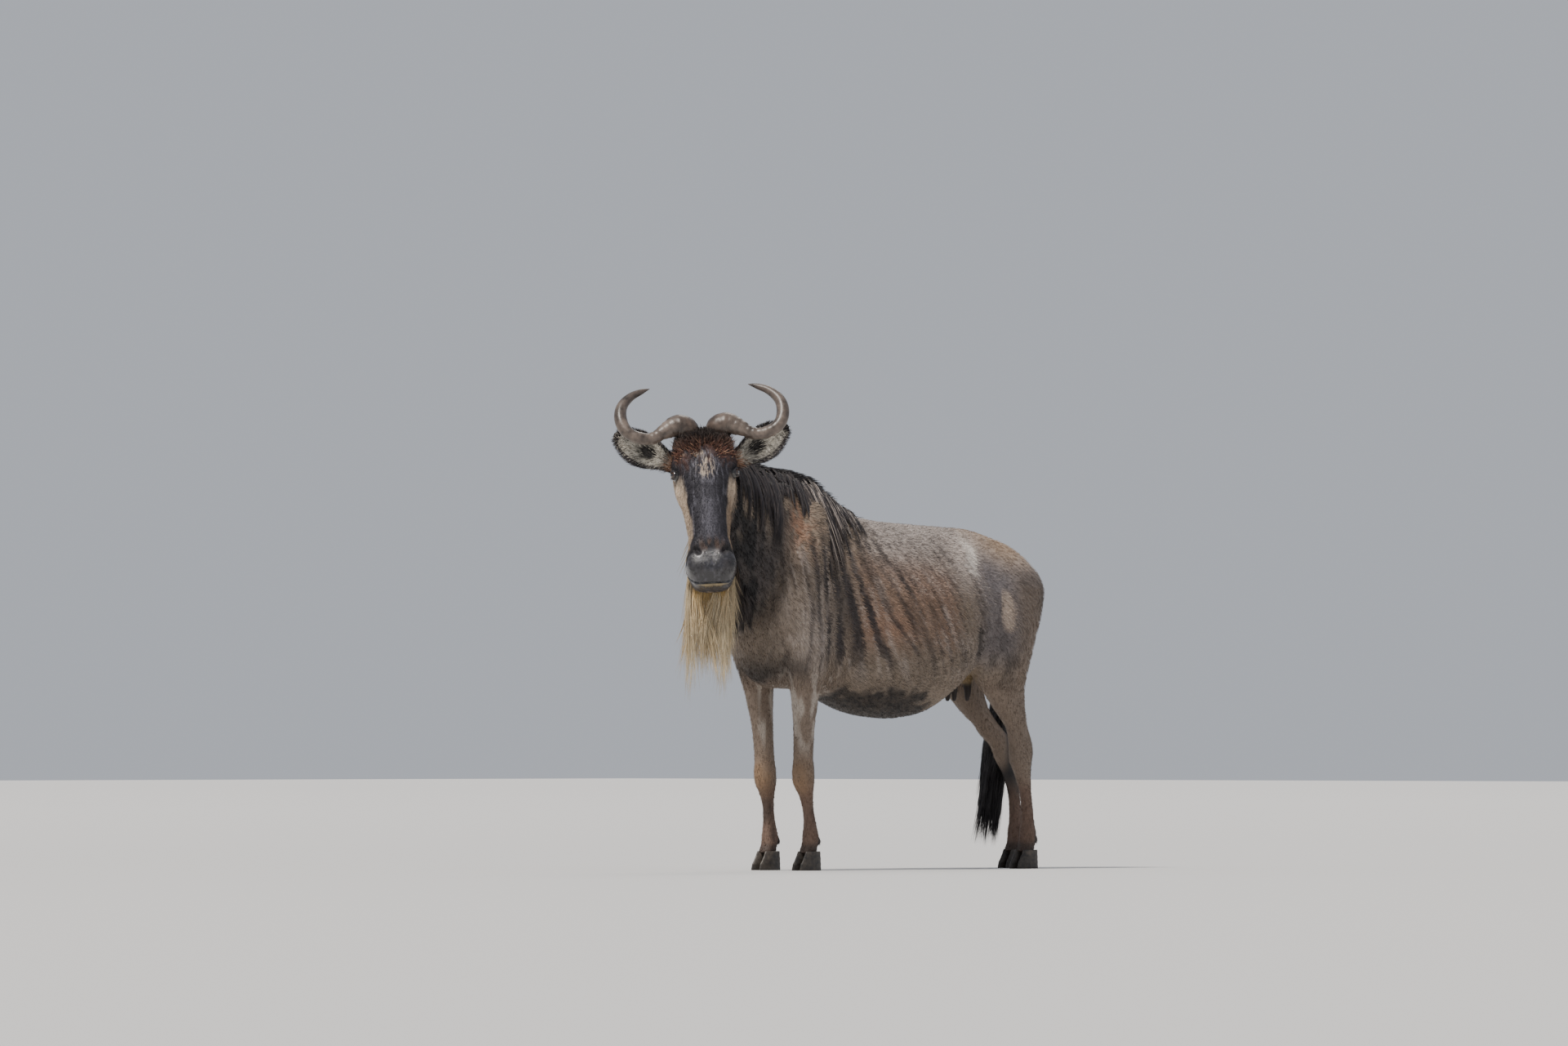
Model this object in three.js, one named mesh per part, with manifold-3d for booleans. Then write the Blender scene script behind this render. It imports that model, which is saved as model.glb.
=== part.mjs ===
// A life-size, still model of an adult cow white-bearded wildebeest. It stands square on level ground
// with its right hind leg set back, its tail swung to the right and its head turned to the left.
// Millimetres, +Z up. The animal's body points along -X, and its left side is towards -Y.
import * as THREE from "three";
import { mergeVertices } from "three/addons/utils/BufferGeometryUtils.js";
import Module from "manifold-3d";

const wasm = await Module();
wasm.setup();

// Driving sizes
const GAP = 0.3; // left open between two nodes that touch
const FORE_X = -272; // the fore fetlocks, seen from the side
const HIND_X = { left: 696, right: 845 }; // the hind fetlocks
const FOOT_Y = { fore: 87, hind: 95 }; // a fetlock's distance from the middle of the body
const HOOF_TOP = 58; // where the horn of the hoof meets the skin of the foot
const POLL = [-775, -117, 1338]; // the top of the face, between the horns
const HEAD_TURN = { yaw: 48, pitch: 12, roll: -3 }; // degrees: to the left, nose forward, left side up
const EYE = { x: 45, y: 87, z: -118, radius: 18.5 }; // in the head's own frame
const ORIGIN = [50, 28, 0]; // the middle of the footprint box, which becomes the part's origin

const LOCK = { sides: 3, steps: 4, sink: 12, tip: 0.6, clear: 2.5 }; // section, rings, root, tip, room
const MANE = { length: 235, width: 36, thick: 9, lift: 7 }; // the hair that falls from the crest
const CREST = { length: 46, width: 34, thick: 12 }; // the short hair that stands along the crest
const BEARD = { length: 350, width: 34, thick: 11 };
const TUFT = { length: 400, width: 28, thick: 12 }; // the tail's long hair

const COLOURS = {
  coat: { color: 0x8a7a6b, roughness: 0.85 },
  dark: { color: 0x2b2627, roughness: 0.8 },
  face: { color: 0x2a2529, roughness: 0.75 },
  beard: { color: 0xd9bf8c, roughness: 0.85 },
  horn: { color: 0x6b6461, roughness: 0.4 },
  hoof: { color: 0x2a2623, roughness: 0.45 },
  eye: { color: 0x120c08, roughness: 0.05 },
  udder: { color: 0x7a6348, roughness: 0.7 },
};

const radians = THREE.MathUtils.degToRad;
const mix = THREE.MathUtils.lerp;
const point = (x, y, z) => new THREE.Vector3(x, y, z);

// Seeded random numbers from 0 to 1, so that every build is the same.
function drawFrom(seed) {
  let state = seed;
  return () => {
    state = (state * 1664525 + 1013904223) % 4294967296;
    return state / 4294967296;
  };
}

// Follows key rows smoothly and without overshoot. A row's first number is its station, and stations rise.
function track(rows) {
  const secant = (i, k) => (rows[i + 1][k] - rows[i][k]) / (rows[i + 1][0] - rows[i][0]);
  const slope = (i, k) => {
    if (i === 0 || i === rows.length - 1) return secant(Math.min(i, rows.length - 2), k);
    const before = secant(i - 1, k);
    const after = secant(i, k);
    return before * after > 0 ? (2 * before * after) / (before + after) : 0;
  };
  return (station) => {
    const found = rows.findIndex((row, i) => i > 0 && station <= row[0]);
    const i = (found < 0 ? rows.length : found) - (found < 0 ? 2 : 1);
    const [a, b] = [rows[i], rows[i + 1]];
    const h = b[0] - a[0];
    const t = (station - a[0]) / h;
    return a.map((value, k) => {
      const [t2, t3] = [t * t, t * t * t];
      return value * (2 * t3 - 3 * t2 + 1) + b[k] * (3 * t2 - 2 * t3)
        + slope(i, k) * h * (t3 - 2 * t2 + t) + slope(i + 1, k) * h * (t3 - t2);
    });
  };
}

// Stations from key rows, with the given number of steps between each two rows.
function stationsOf(rows, steps) {
  const list = rows.slice(0, -1).flatMap((row, i) =>
    Array.from({ length: steps }, (_, k) => mix(row[0], rows[i + 1][0], k / steps)));
  return [...list, rows.at(-1)[0]];
}

// A point of a rounded section: angle 0 is its left, 90 its top and 270 its bottom. Power 2 is an ellipse.
function sectionPoint(angle, power, pinchTop, pinchBottom) {
  const c = Math.cos(radians(angle));
  const s = Math.sin(radians(angle));
  const side = Math.sign(c) * Math.abs(c) ** (2 / power);
  const rise = Math.sign(s) * Math.abs(s) ** (2 / power);
  const pinch = rise > 0 ? pinchTop : pinchBottom;
  return [side * (1 - pinch * rise * rise), rise];
}

// A closed surface through rings of points, each end shut by a fan.
function loft(rings) {
  const around = rings[0].length;
  const middles = [rings[0], rings.at(-1)].map((ring) =>
    ring.reduce((sum, p) => sum.add(p), point(0, 0, 0)).divideScalar(around));
  const points = [...rings.flat(), ...middles];
  const last = (rings.length - 1) * around;
  const faces = [];
  for (let j = 0; j < around; j++) {
    const next = (j + 1) % around;
    for (let i = 0; i < last; i += around) faces.push(i + j, i + next, i + around + next, i + j, i + around + next, i + around + j);
    faces.push(next, j, points.length - 2, last + j, last + next, points.length - 1);
  }
  const geometry = new THREE.BufferGeometry();
  geometry.setAttribute("position", new THREE.Float32BufferAttribute(points.flatMap((p) => p.toArray()), 3));
  geometry.setIndex(faces);
  return geometry;
}

// A geometry as a solid, with its faces turned outwards.
function solidOf(geometry) {
  const bare = geometry.clone();
  for (const name of ["normal", "uv"]) bare.deleteAttribute(name);
  const merged = mergeVertices(bare, 1e-4);
  const build = (triVerts) =>
    new wasm.Manifold(new wasm.Mesh({ numProp: 3, vertProperties: merged.attributes.position.array, triVerts }));
  const triVerts = new Uint32Array(merged.index.array);
  const made = build(triVerts);
  return made.volume() > 0 ? made : build(triVerts.reverse());
}

const joined = (solids) => wasm.Manifold.union(solids);

// The largest closed surface of a solid, which drops loose scraps and fills sealed hollows.
function largest(solid) {
  return solid.decompose().sort((a, b) => b.volume() - a.volume())[0];
}

function geometryOf(solid) {
  const { vertProperties, triVerts } = solid.getMesh();
  const geometry = new THREE.BufferGeometry();
  geometry.setAttribute("position", new THREE.BufferAttribute(new Float32Array(vertProperties), 3));
  geometry.setIndex(new THREE.BufferAttribute(new Uint32Array(triVerts), 1));
  geometry.computeVertexNormals();
  return geometry;
}

function ellipsoid(centre, radii, detail = 14) {
  const geometry = new THREE.SphereGeometry(1, detail, Math.round(detail * 0.7));
  return solidOf(geometry.scale(...radii).translate(...centre));
}

// A tube of round or flat section along a smooth path of rows [x, y, z, radius].
function tube(rows, around, steps) {
  const curve = new THREE.CatmullRomCurve3(rows.map((row) => point(...row)), false, "centripetal");
  const radius = track(rows.map((row, i) => [i / (rows.length - 1), row[3]]));
  const frames = curve.computeFrenetFrames(steps, false);
  return loft(Array.from({ length: steps + 1 }, (_, i) => {
    const at = curve.getUtoTmapping(i / steps);
    const middle = curve.getPoint(at);
    const r = radius(at)[1];
    return Array.from({ length: around }, (_, j) => {
      const angle = (2 * Math.PI * j) / around;
      return middle.clone()
        .addScaledVector(frames.normals[i], r * Math.cos(angle))
        .addScaledVector(frames.binormals[i], r * Math.sin(angle));
    });
  }));
}

// Torso: station x, height of back, height of underside, half width, height of the widest line, pinch of the back
const TORSO_ROWS = [
  [-462, 840, 720, 40, 780, 0],
  [-448, 905, 640, 78, 780, 0],
  [-418, 985, 584, 112, 785, 0.1],
  [-360, 1110, 560, 138, 800, 0.25],
  [-290, 1196, 558, 155, 800, 0.42],
  [-220, 1207, 552, 166, 790, 0.45],
  [-150, 1167, 534, 182, 775, 0.35],
  [-82, 1123, 508, 200, 760, 0.24],
  [-10, 1096, 484, 220, 745, 0.16],
  [70, 1083, 470, 234, 738, 0.12],
  [153, 1075, 465, 239, 735, 0.09],
  [240, 1070, 474, 237, 742, 0.07],
  [320, 1066, 508, 228, 760, 0.06],
  [400, 1063, 566, 211, 788, 0.06],
  [480, 1060, 630, 191, 822, 0.08],
  [560, 1044, 688, 168, 850, 0.12],
  [644, 1012, 738, 142, 865, 0.15],
  [716, 968, 768, 110, 870, 0.15],
  [762, 930, 806, 70, 872, 0.1],
  [784, 900, 842, 28, 872, 0],
];
const torsoAt = track(TORSO_ROWS);

function torsoPoint(x, angle, grow) {
  const [, top, bottom, half, middle, pinch] = torsoAt(x);
  const [side, rise] = sectionPoint(angle, 2.15, pinch, 0.06);
  const reach = rise > 0 ? top - middle : middle - bottom;
  return point(x, -side * (half + grow), middle + rise * (reach + grow));
}

// Neck: station, top x y z, throat x y z, half width, turn to the left in degrees
const NECK_ROWS = [
  [0, -200, 0, 1195, -345, 0, 680, 112, 0],
  [1, -300, 0, 1224, -462, 0, 735, 116, 2],
  [2, -390, -2, 1236, -530, -5, 828, 104, 7],
  [3, -490, -6, 1256, -585, -12, 922, 92, 14],
  [4, -590, -14, 1290, -632, -18, 1010, 82, 24],
  [5, -664, -28, 1322, -672, -26, 1086, 76, 34],
  [6, -716, -68, 1318, -704, -52, 1140, 66, 44],
];
const neckAt = track(NECK_ROWS);

function neckPoint(station, angle, grow) {
  const [, tx, ty, tz, bx, by, bz, half, yaw] = neckAt(station);
  const [side, rise] = sectionPoint(angle, 2.1, 0.38, 0.28);
  const top = point(tx, ty, tz);
  const bottom = point(bx, by, bz);
  const up = top.clone().sub(bottom).multiplyScalar(0.5);
  const left = point(Math.sin(radians(yaw)), -Math.cos(radians(yaw)), 0);
  return top.add(bottom).multiplyScalar(0.5)
    .addScaledVector(up, rise * (1 + grow / up.length()))
    .addScaledVector(left, side * (half + grow));
}

// Head, in its own frame: station z, x of the face, x of the jaw, half width, pinch of face and jaw
const HEAD_ROWS = [
  [-482, 44, 76, 30, 0, 0],
  [-474, 26, 96, 56, 0, 0.1],
  [-456, 5, 108, 71, 0, 0.2],
  [-422, -8, 112, 76, 0.02, 0.3],
  [-386, -10, 111, 74, 0.05, 0.36],
  [-348, -9, 113, 67, 0.1, 0.3],
  [-310, -11, 122, 64, 0.12, 0.28],
  [-270, -14, 140, 69, 0.12, 0.3],
  [-220, -17, 168, 77, 0.1, 0.35],
  [-170, -18, 186, 88, 0.08, 0.4],
  [-120, -17, 188, 95, 0.08, 0.4],
  [-75, -14, 172, 98, 0.1, 0.35],
  [-35, -9, 146, 95, 0.12, 0.3],
  [0, 0, 124, 86, 0.12, 0.3],
  [13, 16, 106, 64, 0.1, 0.2],
  [20, 38, 86, 34, 0, 0],
];
const headAt = track(HEAD_ROWS);

// Angle 90 is the front of the face, and 270 the back of the jaw.
function headPoint(z, angle, grow) {
  const [, face, jaw, half, pinchFace, pinchJaw] = headAt(z);
  const [side, rise] = sectionPoint(angle, 2.4, pinchFace, pinchJaw);
  const middle = mix(face, jaw, 0.45);
  const reach = rise > 0 ? middle - face : jaw - middle;
  return point(middle - rise * (reach + grow), -side * (half + grow), z);
}

const headGroup = new THREE.Group();
headGroup.position.set(...POLL);
headGroup.rotation.set(radians(HEAD_TURN.roll), radians(HEAD_TURN.pitch), radians(HEAD_TURN.yaw), "ZYX");
headGroup.updateMatrix();
const toHead = headGroup.matrix.clone().invert();

// A skin that a point function describes, grown by some millimetres on every side.
function skin(pointAt, stations, around, grow = 0) {
  return loft(stations.map((station) =>
    Array.from({ length: around }, (_, j) => pointAt(station, (360 * j) / around, grow))));
}

const torsoSkin = (grow) => solidOf(skin(torsoPoint, stationsOf(TORSO_ROWS, 1), 26, grow));
const neckSkin = (grow) => solidOf(skin(neckPoint, stationsOf(NECK_ROWS, 2), 22, grow));
const headSkin = (grow) => solidOf(skin(headPoint, stationsOf(HEAD_ROWS, 1), 24, grow));
const inWorld = (headSolid) => headSolid.transform(headGroup.matrix.elements);

// Legs: height, x, distance from the middle, half length fore and aft, half width
const FORE_ROWS = [
  [HOOF_TOP + GAP, FORE_X - 13, FOOT_Y.fore, 31, 30],
  [82, FORE_X - 4, FOOT_Y.fore, 26, 27],
  [108, FORE_X, FOOT_Y.fore, 29, 26],
  [140, FORE_X - 2, FOOT_Y.fore, 24, 21],
  [190, FORE_X - 9, FOOT_Y.fore - 2, 21, 19],
  [232, FORE_X - 16, FOOT_Y.fore - 4, 26, 24],
  [271, FORE_X - 25, FOOT_Y.fore - 6, 36, 34],
  [305, FORE_X - 27, FOOT_Y.fore - 6, 37, 35],
  [346, FORE_X - 28, FOOT_Y.fore - 4, 34, 31],
  [440, FORE_X - 31, FOOT_Y.fore + 2, 37, 33],
  [520, FORE_X - 35, FOOT_Y.fore + 9, 48, 38],
  [590, FORE_X - 40, FOOT_Y.fore + 15, 60, 45],
  [650, FORE_X - 42, FOOT_Y.fore + 19, 82, 54],
  [720, FORE_X - 52, FOOT_Y.fore + 20, 100, 61],
  [800, FORE_X - 68, FOOT_Y.fore + 16, 106, 64],
  [880, FORE_X - 55, FOOT_Y.fore + 10, 106, 62],
  [970, FORE_X - 25, FOOT_Y.fore, 94, 58],
  [1060, FORE_X + 12, FOOT_Y.fore - 20, 76, 50],
  [1130, FORE_X + 38, FOOT_Y.fore - 42, 52, 36],
  [1165, FORE_X + 46, FOOT_Y.fore - 56, 20, 16],
];

// Both hind legs share the thigh, and below the stifle each follows its own stance.
const THIGH_ROWS = [
  [790, 538, 115, 178, 80],
  [860, 561, 103, 178, 82],
  [918, 575, 88, 156, 74],
  [968, 576, 70, 118, 54],
  [1008, 566, 55, 70, 34],
  [1030, 556, 45, 24, 14],
];
const footRows = (x) => [
  [HOOF_TOP + GAP, x - 13, FOOT_Y.hind + 1, 32, 30],
  [84, x - 4, FOOT_Y.hind, 28, 27],
  [114, x, FOOT_Y.hind, 30, 27],
  [150, x - 1, FOOT_Y.hind, 25, 21],
  [225, x - 8, FOOT_Y.hind, 23, 19],
];
const HIND_ROWS = {
  left: [
    ...footRows(HIND_X.left),
    [295, 672, 96, 31, 26],
    [342, 659, 98, 44, 30],
    [385, 657, 99, 47, 28],
    [430, 646, 101, 46, 28],
    [500, 600, 106, 64, 38],
    [570, 561, 114, 96, 49],
    [640, 529, 122, 136, 62],
    [710, 520, 121, 162, 73],
    ...THIGH_ROWS,
  ],
  right: [
    ...footRows(HIND_X.right),
    [295, 822, 96, 33, 26],
    [340, 806, 98, 47, 30],
    [382, 790, 99, 54, 28],
    [415, 752, 100, 60, 28],
    [455, 706, 102, 54, 31],
    [500, 662, 106, 60, 38],
    [576, 608, 114, 92, 50],
    [640, 569, 121, 131, 62],
    [710, 541, 121, 160, 73],
    ...THIGH_ROWS,
  ],
};

function legPoint(rowAt, side) {
  return (z, angle, grow) => {
    const [, x, y, long, wide] = rowAt(z);
    const [across, along] = sectionPoint(angle, 2.15, 0, 0);
    return point(x + along * (long + grow), side * (y + across * (wide + grow)), z);
  };
}

// A leg from the hoof to the top of its muscles, with its two dewclaws.
function legSkin(rows, side, grow) {
  const body = solidOf(skin(legPoint(track(rows), side), stationsOf(rows, 1), 12, grow));
  const [, x, y, long] = track(rows)(104);
  const dewclaws = [-13, 13].map((off) => ellipsoid([x + long * 0.85, side * y + off, 90], [12, 8, 14], 6));
  return joined([body, ...dewclaws]);
}

// One of a foot's two claws, flat underneath, with its toe towards -X.
function claw(x, y) {
  const rows = [
    [0, -6, 46, 15.5],
    [14, -5, 44, 15.5],
    [HOOF_TOP - 22, 1, 37, 14.5],
    [HOOF_TOP, 6, 30, 13.5],
  ];
  const at = track(rows);
  return skin((z, angle) => {
    const [, shift, long, wide] = at(z);
    const [across, along] = sectionPoint(angle, 2.2, 0, 0.45);
    return point(x - 13 + shift + along * long, y + across * wide, z);
  }, stationsOf(rows, 1), 10, 0);
}

function horn(side, grow = 0) {
  const rows = [
    [32, 24, 4, 23],
    [27, 49, 25, 36],
    [22, 80, 31, 35],
    [11, 118, 14, 24],
    [2, 156, -7, 18.5],
    [-4, 201, -4, 18.5],
    [0, 236, 21, 19.5],
    [10, 249, 60, 20],
    [24, 242, 100, 17.5],
    [38, 213, 133, 13.5],
    [49, 175, 152, 8.5],
    [54, 151, 160, 1.2],
  ];
  return solidOf(tube(rows.map(([x, y, z, radius]) => [x, side * y, z, radius + grow]), 10, 22));
}

// An ear as a cupped leaf. Each section is a crescent, deep at the root and shallow at the tip.
const EAR = { root: [68, 84, -80], tip: [74, 268, 28], rim: 4.5 };
const EAR_ROWS = [
  [0, 27, 26, 0.15],
  [0.12, 28, 26, 0.3],
  [0.26, 37, 27, 0.62],
  [0.42, 49, 25, 0.85],
  [0.58, 53, 21, 0.95],
  [0.74, 46, 16, 1],
  [0.88, 31, 10, 1],
  [0.96, 17, 6, 1],
  [1, 5, 4, 1],
];

function ear(side, grow = 0, cupped = true) {
  const rowAt = track(EAR_ROWS);
  const root = point(EAR.root[0], side * EAR.root[1], EAR.root[2]);
  const axis = point(EAR.tip[0], side * EAR.tip[1], EAR.tip[2]).sub(root);
  const along = axis.clone().normalize();
  const open = point(-0.93, side * 0.1, -0.3); // the way the cup faces
  open.addScaledVector(along, -open.dot(along)).normalize();
  const across = new THREE.Vector3().crossVectors(along, open).normalize();
  const count = 8;
  const rings = stationsOf(EAR_ROWS, 1).map((t) => {
    const [, half, deep, hollow] = rowAt(t);
    const middle = root.clone().addScaledVector(axis, t);
    const back = (angle) => middle.clone()
      .addScaledVector(across, (half + grow) * Math.sin(angle))
      .addScaledVector(open, -(deep + grow) * Math.cos(angle));
    const inner = (angle) => {
      const rim = Math.min(EAR.rim, half * 0.4);
      const depth = cupped ? (deep - rim) * hollow - (1 - hollow) * deep * 0.8 : -deep * 0.3 - grow;
      return middle.clone()
        .addScaledVector(across, (half - rim) * Math.sin(angle))
        .addScaledVector(open, -depth * Math.cos(angle));
    };
    const arc = (edge, from, to, steps) =>
      Array.from({ length: steps + 1 }, (_, k) => edge(radians(mix(from, to, k / steps))));
    return [...arc(back, -90, 90, count), ...arc(inner, 67.5, -67.5, count - 2)];
  });
  return solidOf(loft(rings));
}

const earHull = (side, grow) => ear(side, grow, false);

const eyeCentre = (side) => [EYE.x, side * EYE.y, EYE.z];

// The head with its brows, lids, nostrils, nose pad and line of the mouth.
function headFlesh() {
  const parts = [headSkin(0)];
  const cuts = [];
  for (const side of [-1, 1]) {
    parts.push(ellipsoid([EYE.x - 1, side * (EYE.y - 5), EYE.z + 1], [31, 23, 27], 10));
    parts.push(ellipsoid([8, side * 47, -368], [20, 22, 26], 9));
    cuts.push(ellipsoid(eyeCentre(side), Array(3).fill(EYE.radius + GAP), 12));
    const aperture = ellipsoid([0, 0, 0], [17, 30, 9.5], 10);
    cuts.push(aperture.rotate([0, -12, side * -14]).translate([EYE.x - 4, side * (EYE.y + 22), EYE.z - 1]));
    const nostril = ellipsoid([0, 0, 0], [9, 22, 10], 9);
    cuts.push(nostril.rotate([side * -35, 0, side * 20]).translate([-8, side * 50, -370]));
  }
  const mouth = new THREE.BoxGeometry(2.6, 190, 105);
  mouth.rotateY(radians(17)).translate(56, 0, -427);
  cuts.push(solidOf(mouth));
  return joined(parts).subtract(joined(cuts));
}

// Udder with its four teats, under the groin.
function udderFlesh() {
  const teats = [[426, -34], [426, 34], [484, -36], [484, 36]].map(([x, y]) =>
    solidOf(tube([[x, y, 612, 17], [x - 3, y * 1.12, 568, 13], [x - 7, y * 1.2, 516, 4.5]], 8, 6)));
  return joined([ellipsoid([456, 0, 630], [90, 76, 54], 14), ...teats]);
}

// The tail's dock as x, y, z and radius, and the height at which its longest hair ends
const DOCK_ROWS = [
  [738, 0, 915, 30],
  [782, 4, 900, 26],
  [812, 26, 850, 21],
  [826, 66, 765, 17],
  [832, 112, 670, 14],
  [834, 150, 560, 12],
  [834, 176, 460, 10],
  [830, 186, 390, 7],
];
const TAIL_END = 62;

// A flat, tapered lock of hair along a path. It is broad across the way it faces, and ends in a tip.
function lock(path, facing, width, thick, grow = 0) {
  const curve = new THREE.CatmullRomCurve3(path, false, "centripetal");
  const rings = Array.from({ length: LOCK.steps }, (_, i) => {
    const at = i / LOCK.steps;
    const middle = curve.getPointAt(at);
    const along = curve.getTangentAt(at);
    const out = facing(at).clone().addScaledVector(along, -facing(at).dot(along)).normalize();
    const across = new THREE.Vector3().crossVectors(along, out);
    const taper = Math.min(0.55 + at * 1.8, 1) * (1 - at ** 2.2 * 0.85);
    const reach = [width * taper / 2 + grow, thick * taper / 2 + grow];
    return Array.from({ length: LOCK.sides }, (_, j) => {
      const angle = (2 * Math.PI * j) / LOCK.sides + Math.PI / 2;
      return middle.clone()
        .addScaledVector(across, reach[0] * 1.15 * Math.cos(angle))
        .addScaledVector(out, reach[1] * Math.sin(angle));
    });
  });
  const tip = curve.getPointAt(1).addScaledVector(curve.getTangentAt(1), grow);
  const last = curve.getPointAt(1 - 1 / LOCK.steps);
  rings.push(rings.at(-1).map((corner) => tip.clone().add(corner.clone().sub(last).setLength(LOCK.tip + grow))));
  return solidOf(loft(rings));
}

// Hair that falls from the crest down one side of a surface, as locks in seeded order. The surface gives a
// point for a station and an angle, and drift keeps the fall plumb where the sections lean.
function fallingHair({ pointAt, from, to, count, side, seed, length, start, drift, grow }) {
  const draw = drawFrom(seed);
  return Array.from({ length: count }, (_, k) => {
    const station = mix(from, to, (k + 0.5) / count) + (draw() - 0.5) * (to - from) / count * 0.6;
    const long = length(station) * mix(0.8, 1.12, draw());
    const tier = k % 3;
    const sway = (draw() - 0.5) * 0.12;
    const rootAngle = start - tier * 13;
    const angleOf = (degrees) => (side < 0 ? degrees : 180 - degrees);
    const place = (share, lift) => {
      const degrees = rootAngle - share * long / MANE.length * 78;
      const at = station - (drift(station) + sway) * share * long / MANE.length;
      return pointAt(at, angleOf(degrees), lift);
    };
    const lifts = [-LOCK.sink, MANE.lift + tier * 5, MANE.lift + 4 + tier * 4, MANE.lift + 3 + tier * 3, MANE.lift + tier * 2, 4];
    const path = lifts.map((lift, i) => place(i === 0 ? -0.03 : (i - 0.6) / (lifts.length - 1.6), lift));
    const facing = (share) => place(share, 30).sub(place(share, 0)).normalize();
    return lock(path, facing, MANE.width * mix(0.85, 1.25, draw()), MANE.thick, grow);
  });
}

// Short hair that stands up along the crest and leans back.
function crestHair({ pointAt, from, to, count, seed, grow }) {
  const draw = drawFrom(seed);
  return Array.from({ length: count }, (_, k) => {
    const station = mix(from, to, (k + 0.5) / count);
    const lean = k % 2 ? 1 : -1;
    const root = pointAt(station, 90 - lean * 5, -LOCK.sink);
    const up = pointAt(station, 90, 20).sub(pointAt(station, 90, 0)).normalize();
    const long = CREST.length * mix(0.75, 1.1, draw());
    const back = point(0.9, lean * -0.1, -0.1);
    const path = [0, 0.3, 0.65, 1].map((share) =>
      root.clone().addScaledVector(up, share * long * (0.75 - share * 0.4)).addScaledVector(back, share * long * 0.9));
    return lock(path, () => point(0, 1, 0), CREST.width, CREST.thick, grow);
  });
}

const neckDrift = (station) => mix(0.62, 0, Math.min(Math.max((station - 2.6) / 2.4, 0), 1));

const neckMane = (grow) => [
  ...fallingHair({ pointAt: neckPoint, from: 1.1, to: 5.75, count: 18, side: -1, seed: 11, start: 84,
    length: (station) => MANE.length * mix(1.05, 0.72, station / 6), drift: neckDrift, grow }),
  ...fallingHair({ pointAt: neckPoint, from: 1.3, to: 5.5, count: 9, side: 1, seed: 23, start: 80,
    length: () => MANE.length * 0.55, drift: neckDrift, grow }),
  ...crestHair({ pointAt: neckPoint, from: 0.9, to: 5, count: 8, seed: 31, grow }),
];

const torsoMane = (grow) => [
  ...fallingHair({ pointAt: torsoPoint, from: -268, to: -70, count: 8, side: -1, seed: 47, start: 84,
    length: (x) => MANE.length * mix(0.4, 0.8, (x + 70) / -200), drift: () => 0, grow }),
  ...fallingHair({ pointAt: torsoPoint, from: -268, to: -90, count: 4, side: 1, seed: 53, start: 80,
    length: () => MANE.length * 0.42, drift: () => 0, grow }),
  ...crestHair({ pointAt: torsoPoint, from: -285, to: -30, count: 7, seed: 61, grow }),
];

// Hair that hangs straight down from under the chin and jaw, in the head's own frame
function beardHair(grow) {
  const draw = drawFrom(71);
  const plumb = point(0, 0, -1).applyMatrix4(new THREE.Matrix4().extractRotation(headGroup.matrix).invert());
  const rows = [
    { z: -436, angles: [240, 270, 300], long: 0.82 },
    { z: -398, angles: [225, 255, 285, 315], long: 1 },
    { z: -350, angles: [238, 270, 302], long: 1.02 },
    { z: -300, angles: [228, 256, 284, 312], long: 0.88 },
    { z: -252, angles: [244, 296], long: 0.72 },
  ];
  return rows.flatMap(({ z, angles, long }) => angles.map((angle) => {
    const root = headPoint(z, angle, -LOCK.sink);
    const out = headPoint(z, angle, 24).sub(headPoint(z, angle, 0)).normalize();
    const reach = BEARD.length * long * mix(0.84, 1.1, draw());
    const wander = point((draw() - 0.5) * 26, (draw() - 0.5) * 40, 0);
    const path = [0, 0.1, 0.3, 0.6, 1].map((share) => root.clone()
      .addScaledVector(out, Math.min(share * 3, 1) * 26 * (1 - share * 0.4))
      .addScaledVector(plumb, share * reach)
      .addScaledVector(wander, share * share));
    return lock(path, () => out, BEARD.width * mix(0.85, 1.2, draw()), BEARD.thick, grow);
  }));
}

// Hair that hangs from the throat
function throatHair(grow) {
  const draw = drawFrom(83);
  const count = 10;
  return Array.from({ length: count }, (_, k) => {
    const station = mix(2, 5.2, (k + 0.5) / count);
    const angle = 270 + [-26, 8, 26, -8][k % 4];
    const root = neckPoint(station, angle, -LOCK.sink);
    const out = neckPoint(station, angle, 24).sub(neckPoint(station, angle, 0)).normalize();
    const reach = BEARD.length * mix(0.62, 0.85, draw());
    const path = [0, 0.12, 0.35, 0.65, 1].map((share) => root.clone()
      .addScaledVector(out, Math.min(share * 2.4, 1) * 30)
      .add(point((draw() - 0.5) * 6 - share * 12, (draw() - 0.5) * 10, -share * reach)));
    return lock(path, () => out, BEARD.width, BEARD.thick, grow);
  });
}

// The tail: a bare dock, with long hair from its lower half
function tailHair() {
  const draw = drawFrom(97);
  const dock = new THREE.CatmullRomCurve3(DOCK_ROWS.map((row) => point(...row)), false, "centripetal");
  const count = 22;
  return Array.from({ length: count }, (_, k) => {
    const at = mix(0.42, 0.97, k / (count - 1));
    const turn = (k * 137.5 * Math.PI) / 180;
    const out = point(Math.cos(turn), Math.sin(turn), 0);
    const root = dock.getPointAt(at).addScaledVector(out, 2);
    const reach = Math.min(TUFT.length * mix(0.7, 1, draw()), root.z - TAIL_END - draw() * 60);
    const heading = dock.getTangentAt(at);
    const path = [0, 0.15, 0.4, 0.7, 1].map((share) => root.clone()
      .addScaledVector(heading, share * (1 - share) * 90)
      .addScaledVector(out, 30 * Math.sin(Math.min(share * 1.4, 1) * Math.PI * 0.62))
      .add(point(-share * 26, 0, -share * reach)));
    return lock(path, () => out, TUFT.width * mix(0.8, 1.2, draw()), TUFT.thick);
  });
}

const coatMaterial = (name) => new THREE.MeshStandardMaterial({ ...COLOURS[name], metalness: 0 });

const group = new THREE.Group();

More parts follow.
